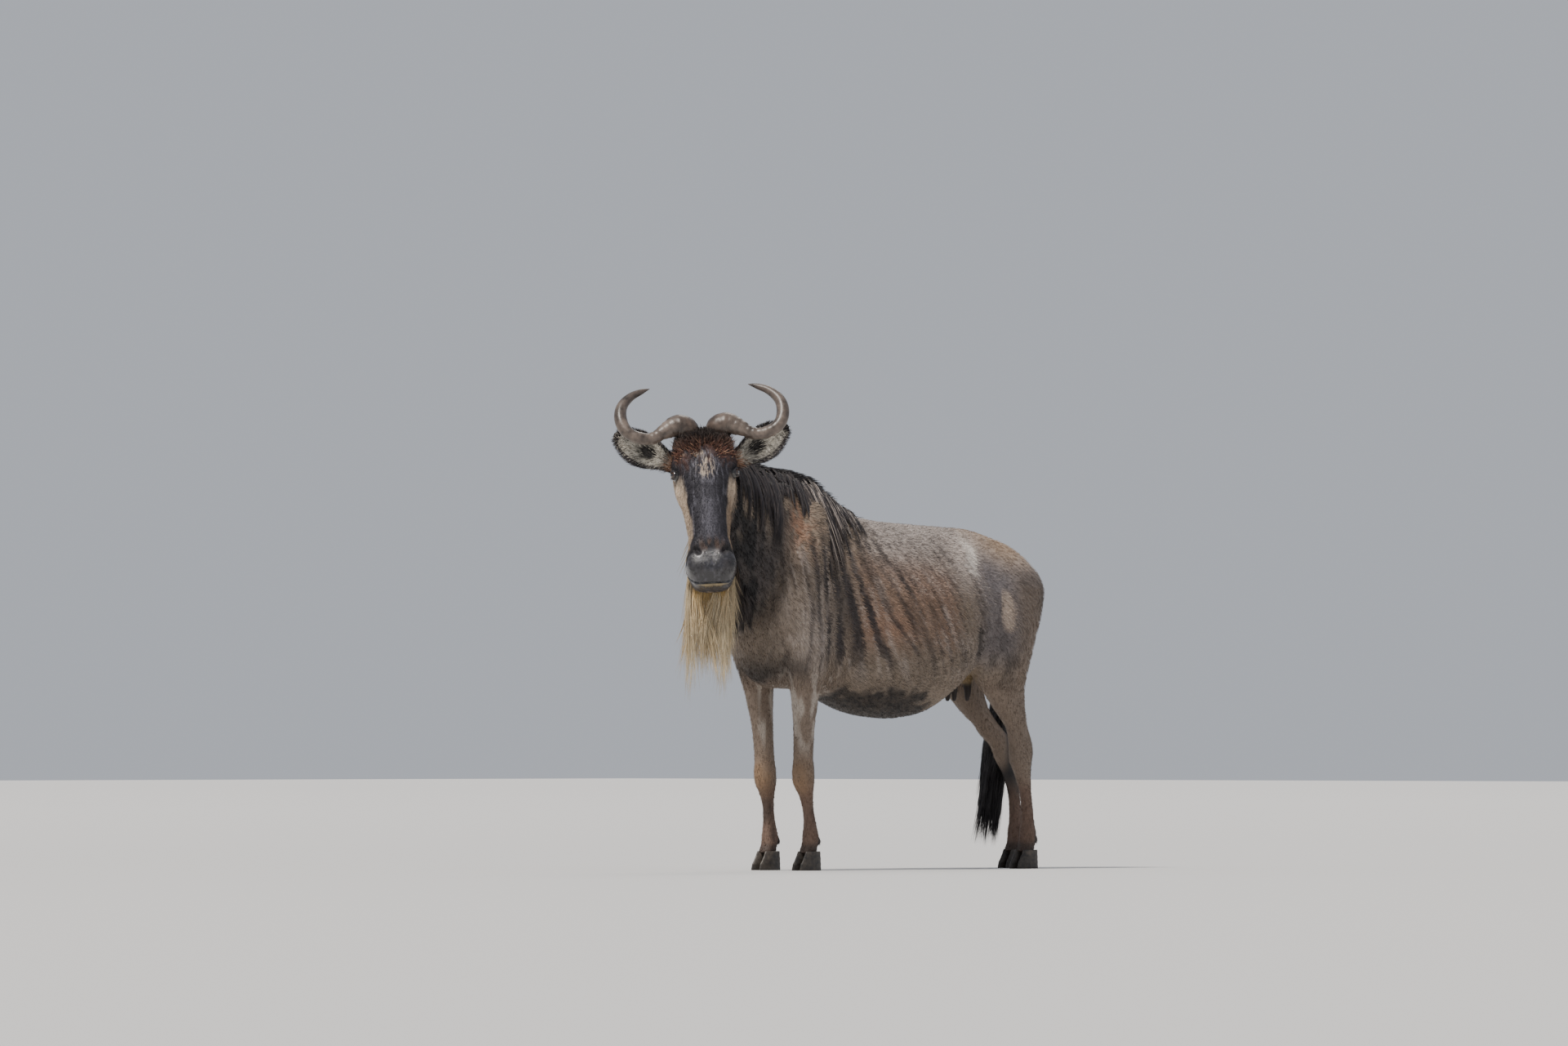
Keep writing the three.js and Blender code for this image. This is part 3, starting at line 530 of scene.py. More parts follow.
def line_mask(points, start, end, breadth):
    """1 on a line between two places, less with the distance from it and towards its ends."""
    start, end = np.array(start, float), np.array(end, float)
    share = np.clip((points - start) @ (end - start) / ((end - start) @ (end - start)), 0, 1)
    away = np.linalg.norm(points - start - share[:, None] * (end - start), axis=1)
    fade = np.sqrt(np.maximum(1 - np.abs(share - 0.5) * 1.1, 0.3))
    return np.exp(-(away / breadth) ** 2) * fade


def path_mask(points, path, breadth):
    """The strongest line_mask of all the stretches of a path of several points."""
    return np.max([line_mask(points, a, b, breadth) for a, b in zip(path[:-1], path[1:])], axis=0)


def in_head(points):
    """How much each point belongs to the head, from 0 to 1."""
    local = into_head(points)
    face, jaw, half, _, _ = HEAD(local[:, 2])
    middle = (face + jaw) / 2
    reach = ((local[:, 0] - middle) / ((jaw - face) / 2)) ** 2 + (local[:, 1] / half) ** 2
    return (1 - smooth(1.25, 1.7, reach)) * band(local[:, 2], -500, 45, 8)


def mirrored(points):
    """Points of the body, with those of the right side moved to the same place on the left."""
    return np.stack([points[:, 0], -np.abs(points[:, 1]), points[:, 2]], 1)


def fold_right(local):
    """The same for points in the head's frame, moved to its right side."""
    return np.stack([local[:, 0], np.abs(local[:, 1]), local[:, 2]], 1)


def swell_body(points, normals):
    """Moves the skin out and in over muscles, bones, creases, ribs and the folds of the shoulder."""
    folded = mirrored(points)
    amount = sum(near(folded, place, reach) * height for place, reach, height in BODY_FORMS)
    amount += sum(line_mask(folded, a, b, breadth) * height for a, b, breadth, height in BODY_LINES)
    ribs = np.sin((points[:, 0] - 0.35 * (1050 - points[:, 2])) / 7.5) * 1.3
    amount += ribs * band(points[:, 0], -120, 240, 60) * band(points[:, 2], 640, 960, 80)
    folds = np.sin((points[:, 0] - 0.2 * points[:, 2] + 9 * noise(points, 60)) / 5.2) * 1.5
    amount += folds * band(points[:, 0], -330, -150, 40) * band(points[:, 2], 700, 1080, 60)
    return points + normals * (amount * (1 - in_head(points)))[:, None]


def swell_face(points, normals):
    """The same over the face, with the nostrils and the line of the mouth."""
    local = into_head(points)
    folded = fold_right(local)
    amount = sum(near(folded, place, reach) * height for place, reach, height in FACE_FORMS)
    amount += sum(line_mask(folded, a, b, breadth) * height for a, b, breadth, height in FACE_LINES)
    amount += path_mask(folded, NOSTRIL, 17) * 7 - path_mask(folded, NOSTRIL, 8) * 24
    amount += path_mask(folded, MOUTH, 11) * 2.5 - path_mask(folded, MOUTH, 3.4) * 9
    return points + normals * (amount * in_head(points))[:, None]


def eye_axes(side):
    """The directions out of an eye, up it, and along it towards the nose."""
    out = unit(np.array([-0.5, side, 0.06]))
    up = unit(np.array([-0.12, 0, 1.0]) - np.dot([-0.12, 0, 1.0], out) * out)
    return out, up, np.cross(out, up) * side


def open_lids(points):
    """Draws the skin round each eye into an upper and a lower lid with an almond opening."""
    local = into_head(points)
    for side in SIDES.values():
        centre = EYE_AT * [1, side, 1]
        out, up, forward = eye_axes(side)
        offset = local - centre
        radius = np.linalg.norm(offset, axis=1)
        away = unit(offset)
        depth = away @ out
        across = np.degrees(np.arctan2(away @ forward, depth))
        rise = np.degrees(np.arctan2(away @ up, depth))
        gape = np.where(rise > 0, *LID_GAPE) * np.sqrt(np.maximum(1 - (across / LID_SPAN) ** 2, 0))
        edge = np.abs(rise) - gape
        lid = EYE_RADIUS + 1.2 + 3.4 * smooth(0, 9, edge) + 1.5 * np.exp(-((edge - 9) / 6) ** 2)
        lid -= 1.8 * np.exp(-((edge - 22) / 5) ** 2)
        wanted = np.where(edge < 0, EYE_RADIUS - 5, lid)
        hold = (1 - smooth(46, 78, np.degrees(np.arccos(np.clip(depth, -1, 1))))) * (radius < 60)
        local = centre + away * (radius + (wanted - radius) * hold)[:, None]
    return from_head(local)


def flesh_parts():
    """The closed surfaces that the skin is fused from. They overlap each other."""
    parts = [
        loft(torso_point, TORSO, 110, 100, -COAT_DEPTH),
        loft(neck_point, NECK, 60, 80, -COAT_DEPTH),
        tube(DOCK, 60, 20),
    ]
    head, faces = loft(head_point, HEAD, 110, 96, -HEAD_COAT_DEPTH)
    parts.append((from_head(head), faces))
    for name, track in LEGS.items():
        side = SIDES[name.split("_")[1]]
        parts.append(loft(leg_point(track, side), track, 120, 48, -LEG_COAT_DEPTH))
        x, y, long, _ = track(104.0)
        dewclaws = ((x + long * 0.85, side * y + off, 90) for off in (-13, 13))
        parts += [ball(place, (11, 7, 13), 10) for place in dewclaws]
    parts.append(ball(*UDDER))
    for x, y in TEATS:
        parts.append(tube([(x, y, 612, 19), (x - 3, y * 1.12, 566, 15), (x - 7, y * 1.2, 518, 9)], 16, 14))
    return parts


def split_finer(mesh, choose):
    """Halves the edges between the points that are chosen."""
    build = bmesh.new()
    build.from_mesh(mesh)
    points = np.array([v.co for v in build.verts]) / MM - ORIGIN
    wanted = choose(points)
    edges = [e for e in build.edges if wanted[e.verts[0].index] and wanted[e.verts[1].index]]
    bmesh.ops.subdivide_edges(build, edges=edges, cuts=1, use_grid_fill=True)
    build.to_mesh(mesh)
    build.free()


def near_features(points):
    """True round the eyes and on the nose, which need finer faces."""
    local = into_head(points)
    folded = fold_right(local)
    eye = np.linalg.norm(folded - EYE_AT, axis=1) < 44
    nose = (folded[:, 2] < -335) & (folded[:, 0] < 100) & (in_head(points) > 0.5)
    return eye | nose


# Markings, mixed as linear light

LINEAR_BELOW = 10.2 / 255


def tone(red, green, blue):
    """A screen colour, given in steps from 0 to 255, as linear light."""
    shares = (c / 255 for c in (red, green, blue))
    return np.array([((c + 0.055) / 1.055) ** 2.4 if c > LINEAR_BELOW else c / 12.92 for c in shares])


def setting(name):
    """One of the colours in the settings, as linear light."""
    return np.array(getattr(bpy.context.scene.wildebeest_colours, name)[:3])


def blend_in(base, colour, mask):
    return base + (np.asarray(colour) - base) * np.clip(mask, 0, 1)[:, None]


class Coat:
    """Colours of the settings laid over one another, each through a mask from 0 to 1."""

    def __init__(self, points, base, tint=1.0):
        self.colour = np.tile(setting(base) * tint, (len(points), 1))

    def lay(self, name, mask, tint=1.0):
        self.colour = blend_in(self.colour, setting(name) * tint, mask)


def body_markings(points):
    folded = mirrored(points)
    broad = noise(points, 130, 1)
    fine = noise(points, (26, 26, 9), 2)
    coat = Coat(points, "flank", tint=1.12)
    trunk_grounds(coat, folded, broad, fine)
    trunk_stripes(coat, points, folded, fine)
    neck_and_edges(coat, points, folded, broad)
    legs_and_tail(coat, points, folded)
    return coat.colour * (0.84 + 0.32 * broad)[:, None]


def trunk_grounds(coat, folded, broad, fine):
    """The broad tones of back, ribs, haunch and rump and the pale marks on them, with painted light: the back
    lighter towards the top, a highlight on the hip bone, and shade in the hollow behind it.
    """
    x, _, z = folded.T
    # Painted light from above: the back turns sunlit silver towards the top.
    coat.lay("silver", smooth(810, 975, z + 90 * (broad - 0.5)) * smooth(-150, 20, x), tint=1.05)
    ribs = band(x, -150, 240, 60) * band(z, 690, 960, 60)
    coat.lay("brown", ribs * (0.35 + 0.6 * broad), tint=[1.1, 1.15, 1.2])
    coat.lay("haunch", smooth(300, 420, x) * band(z, 640, 940, 60) * 0.8, tint=1.12)
    coat.lay("leg", smooth(500, 600, x) * band(z, 560, 900, 60) * 0.8)
    coat.lay("rump", smooth(330, 560, x) * smooth(900, 1010, z) * 0.8)
    coat.lay("shade", smooth(650, 720, x) * (1 - smooth(820, 930, z)) * 0.6, tint=1.8)
    coat.lay("silver", near(folded, (-330, -150, 720), (90, 90, 130)) * (0.3 + 0.6 * fine), tint=0.9)
    # Painted shade in the hollow behind the hip bone, in the haunch's blue-grey.
    coat.lay("haunch", near(folded, (440, -170, 930), (60, 70, 60)) * 0.7)
    # Painted highlight along the hip bone, in the pale hip colour.
    hip = line_mask(folded, (384, -118, 1032), (356, -190, 930), 36) + 0.4 * (fine - 0.5)
    coat.lay("hip", smooth(0.2, 0.95, hip) * 0.9)
    coat.lay("shade", line_mask(folded, (160, -205, 985), (222, -205, 980), 9) * 0.7)
    thigh = line_mask(folded, (492, -190, 836), (508, -190, 770), 40) * smooth(466, 480, x)
    coat.lay("silver", smooth(0.2, 0.55, thigh) * (1 - smooth(500, 560, x)) * 0.8, tint=[1.04, 0.96, 0.85])


def trunk_stripes(coat, points, folded, fine):
    """The dark bands, which lean back more towards the flank, with darker streaks and painted glints of light
    between them, and painted shade in the crease in front of the thigh.
    """
    x, z = points[:, 0], points[:, 2]
    slant = x - 0.46 * smooth(-380, 240, x) * (1080 - z)
    slanted = np.stack([slant, np.abs(points[:, 1]), z], 1)
    phase = slant / np.interp(x, [-60, 60], STRIPE_SPACING)
    phase = phase + 0.7 * noise(points, 230, 3) + 0.45 * noise(slanted, (40, 90, 200), 4)
    narrow = 0.34 + 0.4 * smooth(-160, 20, x)
    stripe = smooth(narrow, narrow + 0.34, 0.5 + 0.5 * np.cos(2 * math.pi * phase) + 0.3 * (fine - 0.5))
    brindle = band(x, -420, 420, 60) * band(z, 600, 1060, 60)
    coat.lay("shade", specks(slanted, (8, 50, 130), 13, 0.52, 0.78) * brindle * 0.6, tint=1.6)
    # Painted highlights: pale glints on the hair between the bands.
    coat.lay("silver", specks(slanted, (7, 50, 90), 14, 0.6, 0.8) * brindle * 0.42, tint=1.15)
    reach = band(x, -330, 290, 70) * band(z, 640, 1045, 70) * (0.5 + 0.5 * specks(points, 70, 5, 0.25, 0.6))
    coat.lay("stripe", stripe * reach * (0.9 - 0.32 * smooth(-60, 260, x)))
    coat.lay("stripe", line_mask(folded, (-196, -180, 1000), (-222, -170, 600), 34) * 0.8)
    # Painted shade in the crease in front of the thigh.
    crease_shade = line_mask(folded, (362, -205, 742), (404, -180, 592), 24)
    coat.lay("shade", smooth(0.2, 0.8, crease_shade) * 0.95)


def neck_and_edges(coat, points, folded, broad):
    """The rusty mark before the withers, the dark belly and chest, the neck and the dark line of the back."""
    x, y, z = points[:, 0], np.abs(points[:, 1]), points[:, 2]
    fleck = noise(points, (7, 7, 24), 24)
    coat.lay("rust", near(folded, (-346, -110, 1085), (54, 90, 90)) * smooth(0.3, 0.66, fleck) * 1.3)
    ragged = z + 0.05 * x + 60 * (broad - 0.5) + 70 * (noise(points, (24, 24, 40), 25) - 0.5)
    ragged = ragged + 24 * (fleck - 0.5)
    under = (1 - smooth(520, 556, ragged)) * band(x, -480, 440, 30)
    coat.lay("shade", under * (0.82 + 0.18 * smooth(0.35, 0.6, fleck)), tint=[0.5, 0.34, 0.26])
    neck = smooth(-330, -420, x - 0.25 * (z - 1100)) * smooth(700, 860, z)
    coat.lay("neck", neck)
    coat.lay("mane", neck * specks(points, (16, 16, 170), 6, 0.3, 0.6) * 0.95, tint=0.8)
    coat.lay("cheek", neck * (specks(points, (13, 13, 120), 15, 0.5, 0.75) * smooth(960, 1180, z)) * 0.6)
    coat.lay("shade", smooth(-300, -380, x) * smooth(690, 600, z) * 0.9)
    coat.lay("mane", smooth(22, 8, y) * band(x, -640, -60, 30) * smooth(1090, 1130, z))
    coat.lay("shade", smooth(14, 4, y) * band(x, -80, 640, 30) * smooth(900, 1000, z) * 0.5)


def legs_and_tail(coat, points, folded):
    """Legs that darken to the hooves, with golden knees, painted highlights on the upper forelegs, backs
    partly black and partly painted shade, the udder and its teats, and the dock.
    """
    x, y, z = points[:, 0], np.abs(points[:, 1]), points[:, 2]
    leg = 1 - smooth(LEG_TOP, 640, z)
    leg = leg * np.maximum(band(x, -400, -150, 20), smooth(430, 480, x))
    coat.lay("leg", leg)
    knee = near(folded, (-330, -84, 288), (46, 52, 56)) * (0.6 + 0.8 * noise(points, 24, 16))
    # Painted highlights: pale streaks on the upper forelegs, in the hip colour.
    foreleg_glint = specks(points, (16, 16, 90), 17, 0.55, 0.75) * leg
    coat.lay("hip", foreleg_glint * 0.3 * smooth(330, 420, z) * (x < 0))
    cannon = 1 - smooth(235, 300, z)
    coat.lay("cannon", leg * cannon * 0.9)
    coat.lay("shade", leg * cannon * specks(points, (18, 18, 70), 18, 0.5, 0.8) * 0.6)
    coat.lay("knee", np.clip(knee, 0, 1) * leg * 0.7)
    mottle = near(folded, (500, -150, 650), (90, 80, 90)) * specks(points, 34, 19, 0.5, 0.7)
    coat.lay("shade", mottle * 0.6)
    # The backs of the lower legs darkened, partly their own black hair and partly painted shade on the side
    # away from the light.
    rear = np.zeros(len(points))
    for track in LEGS.values():
        at_x, at_y, long, wide = track(z)
        on = np.abs(y - at_y) < wide * 1.6
        rear = np.maximum(rear, on * smooth(0.35, 0.8, (x - at_x) / long) * (np.abs(x - at_x) < long * 1.5))
    coat.lay("shade", rear * leg * (1 - smooth(300, 420, z)) * 0.85)
    coat.lay("shade", (1 - smooth(70, 95, z)) * 0.7)
    udder = near(points, (456, 0, 604), (110, 92, 56)) * (x < 580) * (y < 90)
    groin = near(folded, (424, -90, 640), (64, 70, 60))
    coat.lay("udder", np.maximum(smooth(0.2, 0.6, udder), smooth(0.3, 0.9, groin) * 0.7))
    coat.lay("shade", (1 - smooth(568, 586, z)) * (np.abs(x - 455) < 54) * (y < 60) * (z > 500))
    coat.lay("mane", smooth(764, 800, x) * smooth(200, 300, z) * (y < 230))


def head_markings(points):
    local = into_head(points)
    folded = fold_right(local)
    fine = noise(local, (9, 7, 30), 7)
    coat = Coat(points, "cheek")
    face_grounds(coat, local, folded, fine)
    brow_and_eyes(coat, local, folded)
    nose_and_mouth(coat, local, folded, fine)
    return coat.colour


def face_grounds(coat, local, folded, fine):
    """The black blaze with its blue sheen between the cream cheeks, and the red-brown forehead."""
    x, y, z = folded.T
    broad = noise(local, 45, 8)
    coat.lay("grey", smooth(70, 130, x) * 0.6)
    half = np.interp(z, [-345, -320, -260, -200, -150, -110, -70], [66, 57, 58, 66, 72, 80, 88])
    blaze = (1 - smooth(half - 8, half + 3, y + 9 * (fine - 0.5))) * (1 - smooth(-78, -58, z))
    blaze = blaze * (1 - smooth(40, 62, x))
    coat.lay("blaze", blaze)
    # Painted highlight: a sheen down the ridge of the face, where the black hair catches the light.
    sheen = np.exp(-(y / 26) ** 2) * (0.35 + 0.65 * band(z, -330, -200, 30))
    coat.lay("sheen", blaze * sheen * (0.35 + 0.65 * noise(local, (4, 3, 6), 20)) * 0.62)
    coat.lay("sheen", blaze * smooth(0.62, 0.85, fine) * 0.35)
    # The lower face in a darker tan of its own, laid more strongly on the head's left side as painted shade
    # on the side turned from the light.
    lower = smooth(-150, -250, z + 40 * (fine - 0.5)) * (0.45 + 0.35 * (local[:, 1] < 0))
    coat.lay("rump", lower * (1 - blaze), tint=0.62)
    outer = smooth(88, 120, x) * (1 - smooth(-92, -66, z))
    coat.lay("rust", outer * smooth(0.3, 0.7, broad) * 0.5)
    edge = 84 * (noise(local, (16, 9, 30), 23) - 0.5) - 20 * np.cos(y / 24)
    top = smooth(-96, -64, z + edge) * (1 - smooth(100, 130, x))
    coat.lay("forehead", top)
    coat.lay("blaze", top * specks(local, (14, 8, 22), 21, 0.42, 0.66) * 0.8)
    coat.lay("blaze", top * smooth(0.55, 0.8, broad) * 0.5)


def brow_and_eyes(coat, local, folded):
    """The pale mark on the brow, the fine arcs above the eyes, and the rings round them."""
    _, y, z = folded.T
    pale = near(local, (-14, 0, -106), (40, 36, 44)) * specks(local, (4, 2.2, 13), 22, 0.42, 0.62) * 1.15
    coat.lay("sheen", smooth(0.1, 0.5, pale) * 0.6, tint=1.2)
    coat.lay("cheek", smooth(0.35, 1.0, pale) * 0.85, tint=1.05)
    arcs = 0.5 + 0.5 * np.cos(np.hypot(y - 80, (z + 112) * 0.8) / 2.6)
    brow = near(folded, (20, 72, -104), (40, 40, 38))
    coat.lay("sheen", brow * smooth(0.75, 1.0, arcs) * 0.5)
    coat.lay("blaze", near(folded, EYE_AT + [-8, 6, 6], (36, 38, 36)) * 1.25)
    under = near(folded, EYE_AT + [8, 6, -42], (26, 30, 20))
    coat.lay("cheek", smooth(0.35, 0.7, under) * 0.8, tint=1.25)


def nose_and_mouth(coat, local, folded, fine):
    """The dark nose with painted highlights speckled on its damp pad, the pale lip, and painted shade in the
    nostrils and the line of the mouth.
    """
    x, y, z = folded.T
    arch = z + 9 * (fine - 0.5) - 16 * np.cos(np.clip(y / 30, 0, math.pi))
    nose = smooth(-336, -358, arch) * (1 - smooth(50, 112, x + 50 * (fine - 0.5)))
    coat.lay("muzzle", nose, tint=0.58)
    bridge = near(local, (-14, 0, -348), (30, 40, 20)) * smooth(0.3, 0.6, fine)
    coat.lay("cannon", bridge * 0.7)
    # Painted highlights: pale specks on the damp pad of the nose.
    coat.lay("sheen", specks(local, 7, 9, 0.5, 0.8) * muzzle_pad(local) * 0.18)
    lip = path_mask(folded + [0, 0, 9], MOUTH, 6) * smooth(-464, -469, z)
    coat.lay("beard", lip * (x < 70) * 0.8, tint=[0.95, 0.85, 0.55])
    # Painted shade in the nostrils and along the line of the mouth.
    dark = np.maximum(smooth(0.25, 0.7, path_mask(folded, NOSTRIL, 12)), path_mask(folded, MOUTH, 4))
    coat.lay("blaze", dark, tint=0.4)


def muzzle_pad(local):
    """1 on the bare, damp end of the nose, apart from the nostrils."""
    folded = fold_right(local)
    x, y, z = folded.T
    below = smooth(-366, -382, z - 10 * np.cos(np.clip(y / 30, 0, math.pi)))
    nostril = path_mask(folded, NOSTRIL, 14)
    return below * (1 - smooth(34, 56, x)) * (1 - smooth(0.1, 0.5, nostril))


def markings(points):
    head = in_head(points)
    return body_markings(points) * (1 - head)[:, None] + head_markings(points) * head[:, None]


# Materials

# Fur: scale of its grain, roughness and strength of its relief
FUR = {
    "Skin": (620.0, 0.66, 0.55),
    "Coat hair": (900.0, 0.62, 0.15),
    "Long hair": (700.0, 0.42, 0.12),
    "Beard hair": (700.0, 0.5, 0.12),
}


def new_material(name):
    """A new material with its node tree and its shader."""
    material = bpy.data.materials.new(name)
    material.use_nodes = True
    return material, material.node_tree, material.node_tree.nodes["Principled BSDF"]


def join(source, output, target, entry):
    source.id_data.links.new(source.outputs[output], target.inputs[entry])


def node(tree, kind, **values):
    """A new node, whose values are set on its sockets or, where it has none of that name, on itself."""
    made = tree.nodes.new(kind)
    for key, value in values.items():
        if key in made.inputs:
            made.inputs[key].default_value = value
        else:
            setattr(made, key, value)
    return made


def map_range(tree, from_low, from_high, to_low, to_high):
    limits = {"From Min": from_low, "From Max": from_high, "To Min": to_low, "To Max": to_high}
    return node(tree, "ShaderNodeMapRange", **limits)


def fur_grain_group():
    """Fine hairs as a height and a shade, from the place on the body alone."""
    if "Fur grain" in bpy.data.node_groups:
        return bpy.data.node_groups["Fur grain"]
    tree = bpy.data.node_groups.new("Fur grain", "ShaderNodeTree")
    for name, way in (("Scale", "INPUT"), ("Height", "OUTPUT"), ("Shade", "OUTPUT")):
        tree.interface.new_socket(name, in_out=way, socket_type="NodeSocketFloat")
    entry, leave = tree.nodes.new("NodeGroupInput"), tree.nodes.new("NodeGroupOutput")
    place = node(tree, "ShaderNodeTexCoord")
    stretch = node(tree, "ShaderNodeMapping", Scale=(0.45, 1.0, 0.4))
    hairs = node(tree, "ShaderNodeTexNoise", Detail=5.0, Roughness=0.62)
    clumps = node(tree, "ShaderNodeTexNoise", Scale=42.0, Detail=3.0)
    both = node(tree, "ShaderNodeMath", operation="MULTIPLY_ADD")
    both.inputs[1].default_value = 0.55
    shade = map_range(tree, 0.3, 0.7, 0.66, 1.3)
    join(place, "Object", stretch, "Vector")
    join(stretch, "Vector", hairs, "Vector")
    join(place, "Object", clumps, "Vector")
    join(entry, "Scale", hairs, "Scale")
    join(clumps, "Fac", both, 0)
    join(hairs, "Fac", both, 2)
    join(both, 0, leave, "Height")
    join(hairs, "Fac", shade, "Value")
    join(shade, "Result", leave, "Shade")
    return tree


def coat_material(name):
    """Fur whose colour is the markings painted on the mesh, broken up by the grain of its hairs."""
    if name in bpy.data.materials:
        return bpy.data.materials[name]
    scale, rough, bump = FUR[name]
    material, tree, shader = new_material(name)
    colour = node(tree, "ShaderNodeAttribute", attribute_name="Markings")
    grain = node(tree, "ShaderNodeGroup")
    grain.node_tree = fur_grain_group()
    grain.inputs["Scale"].default_value = scale
    mixed = node(tree, "ShaderNodeVectorMath", operation="SCALE")
    relief = node(tree, "ShaderNodeBump", Strength=bump, Distance=0.002)
    join(colour, "Color", mixed, 0)
    join(grain, "Shade", mixed, "Scale")
    join(mixed, "Vector", shader, "Base Color")
    join(grain, "Height", relief, "Height")
    join(relief, "Normal", shader, "Normal")
    shader.inputs["Roughness"].default_value = rough
    if name == "Skin":
        damp = node(tree, "ShaderNodeAttribute", attribute_name="Damp")
        gloss = map_range(tree, 0, 1, rough, 0.2)
        join(damp, "Fac", gloss, "Value")
        join(gloss, "Result", shader, "Roughness")
        wet_film = node(tree, "ShaderNodeMath", operation="MULTIPLY")
        wet_film.inputs[1].default_value = 0.5
        join(damp, "Fac", wet_film, 0)
        join(wet_film, 0, shader, "Coat Weight")
        shader.inputs["Coat Roughness"].default_value = 0.24
    return material


def horn_material(name, low, high, rough, scale):
    """Horn between a dark and a light tone, tinted by the markings painted on the mesh."""
    material, tree, shader = new_material(name)
    place = node(tree, "ShaderNodeTexCoord")
    cloud = node(tree, "ShaderNodeTexNoise", Scale=scale, Detail=6.0, Roughness=0.6)
    ramp = node(tree, "ShaderNodeValToRGB")
    for element, position, colour in zip(ramp.color_ramp.elements, (0.36, 0.68), (low, high)):
        element.position = position
        element.color = (*colour, 1)
    tint = node(tree, "ShaderNodeAttribute", attribute_name="Markings")
    mixed = node(tree, "ShaderNodeMix", data_type="RGBA", blend_type="MULTIPLY")
    mixed.inputs[0].default_value = 1.0
    fine = node(tree, "ShaderNodeTexNoise", Scale=scale * 7, Detail=4.0)
    relief = node(tree, "ShaderNodeBump", Strength=0.35, Distance=0.0015)
    gloss = map_range(tree, 0, 1, rough - 0.1, rough + 0.15)
    join(place, "Object", cloud, "Vector")
    join(place, "Object", fine, "Vector")
    join(cloud, "Fac", ramp, "Fac")
    join(ramp, "Color", mixed, 6)
    join(tint, "Color", mixed, 7)
    join(mixed, 2, shader, "Base Color")
    join(fine, "Fac", relief, "Height")
    join(relief, "Normal", shader, "Normal")
    join(cloud, "Fac", gloss, "Value")
    join(gloss, "Result", shader, "Roughness")
    return material


def eye_material():
    """A dark, wet eye. The markings on the mesh hold its level pupil and darker rim."""
    material, tree, shader = new_material("Eye")
    colour = node(tree, "ShaderNodeAttribute", attribute_name="Markings")
    join(colour, "Color", shader, "Base Color")
    shader.inputs["Roughness"].default_value = 0.12
    shader.inputs["Coat Weight"].default_value = 1.0
    return material


# Hair as solid mesh

HAIR_CORNERS = np.radians([90, 210, 330])
# How wide a hair is at its root, as a share of its whole width
ROOT_WIDTH = 0.62
STRAND_STEPS = 7
# Where body, head and legs begin on the unwrapped skin, and how much of its length each one takes
UV_BODY, UV_HEAD, UV_LEGS = (0.01, 0.62), (0.65, 0.16), (0.83, 0.15)
# How large the unwrapped faces of one hair are
HAIR_UV = 0.003
# Hair of this length reaches this many degrees down round the neck
FALL, FALL_DEGREES = 235, 78
MANE_CLUMPS, SHOULDER_CLUMPS = 90, 34
# A weight for places that grow no hair, so that a piece's weights never sum to nothing
HARDLY_ANY = 1e-9


def root_map(points):
    """A place on the unwrapped skin for each point: along the body or limb, and round it."""
    x, y, z = points.T
    head = in_head(points) > 0.5
    local = into_head(points)
    angle = np.arctan2(z - 800, -y) / (2 * math.pi) + 0.5
    body_at, body_long = UV_BODY
    head_at, head_long = UV_HEAD
    leg_at, leg_long = UV_LEGS
    u = body_at + body_long * np.clip((x + 800) / 1700, 0, 1)
    v = 0.01 + 0.96 * angle
    round_head = np.arctan2(local[:, 1], 60 - local[:, 0]) / (2 * math.pi) + 0.5
    u = np.where(head, head_at + head_long * np.clip((local[:, 2] + 480) / 560, 0, 1), u)
    v = np.where(head, 0.01 + 0.96 * round_head, v)
    for order, (name, track) in enumerate(LEGS.items()):
        at_x, at_y, _, _ = track(z)
        side = SIDES[name.split("_")[1]]
        on = (z < 600) & (np.sign(y) == side) & ((x > 200) == name.startswith("hind"))
        turn = np.arctan2(y - side * at_y, x - at_x) / (2 * math.pi) + 0.5
        u = np.where(on, leg_at + leg_long * np.clip(z / 620, 0, 1), u)
        v = np.where(on, 0.01 + 0.245 * order + 0.22 * turn, v)
    return np.stack([u, v], 1)


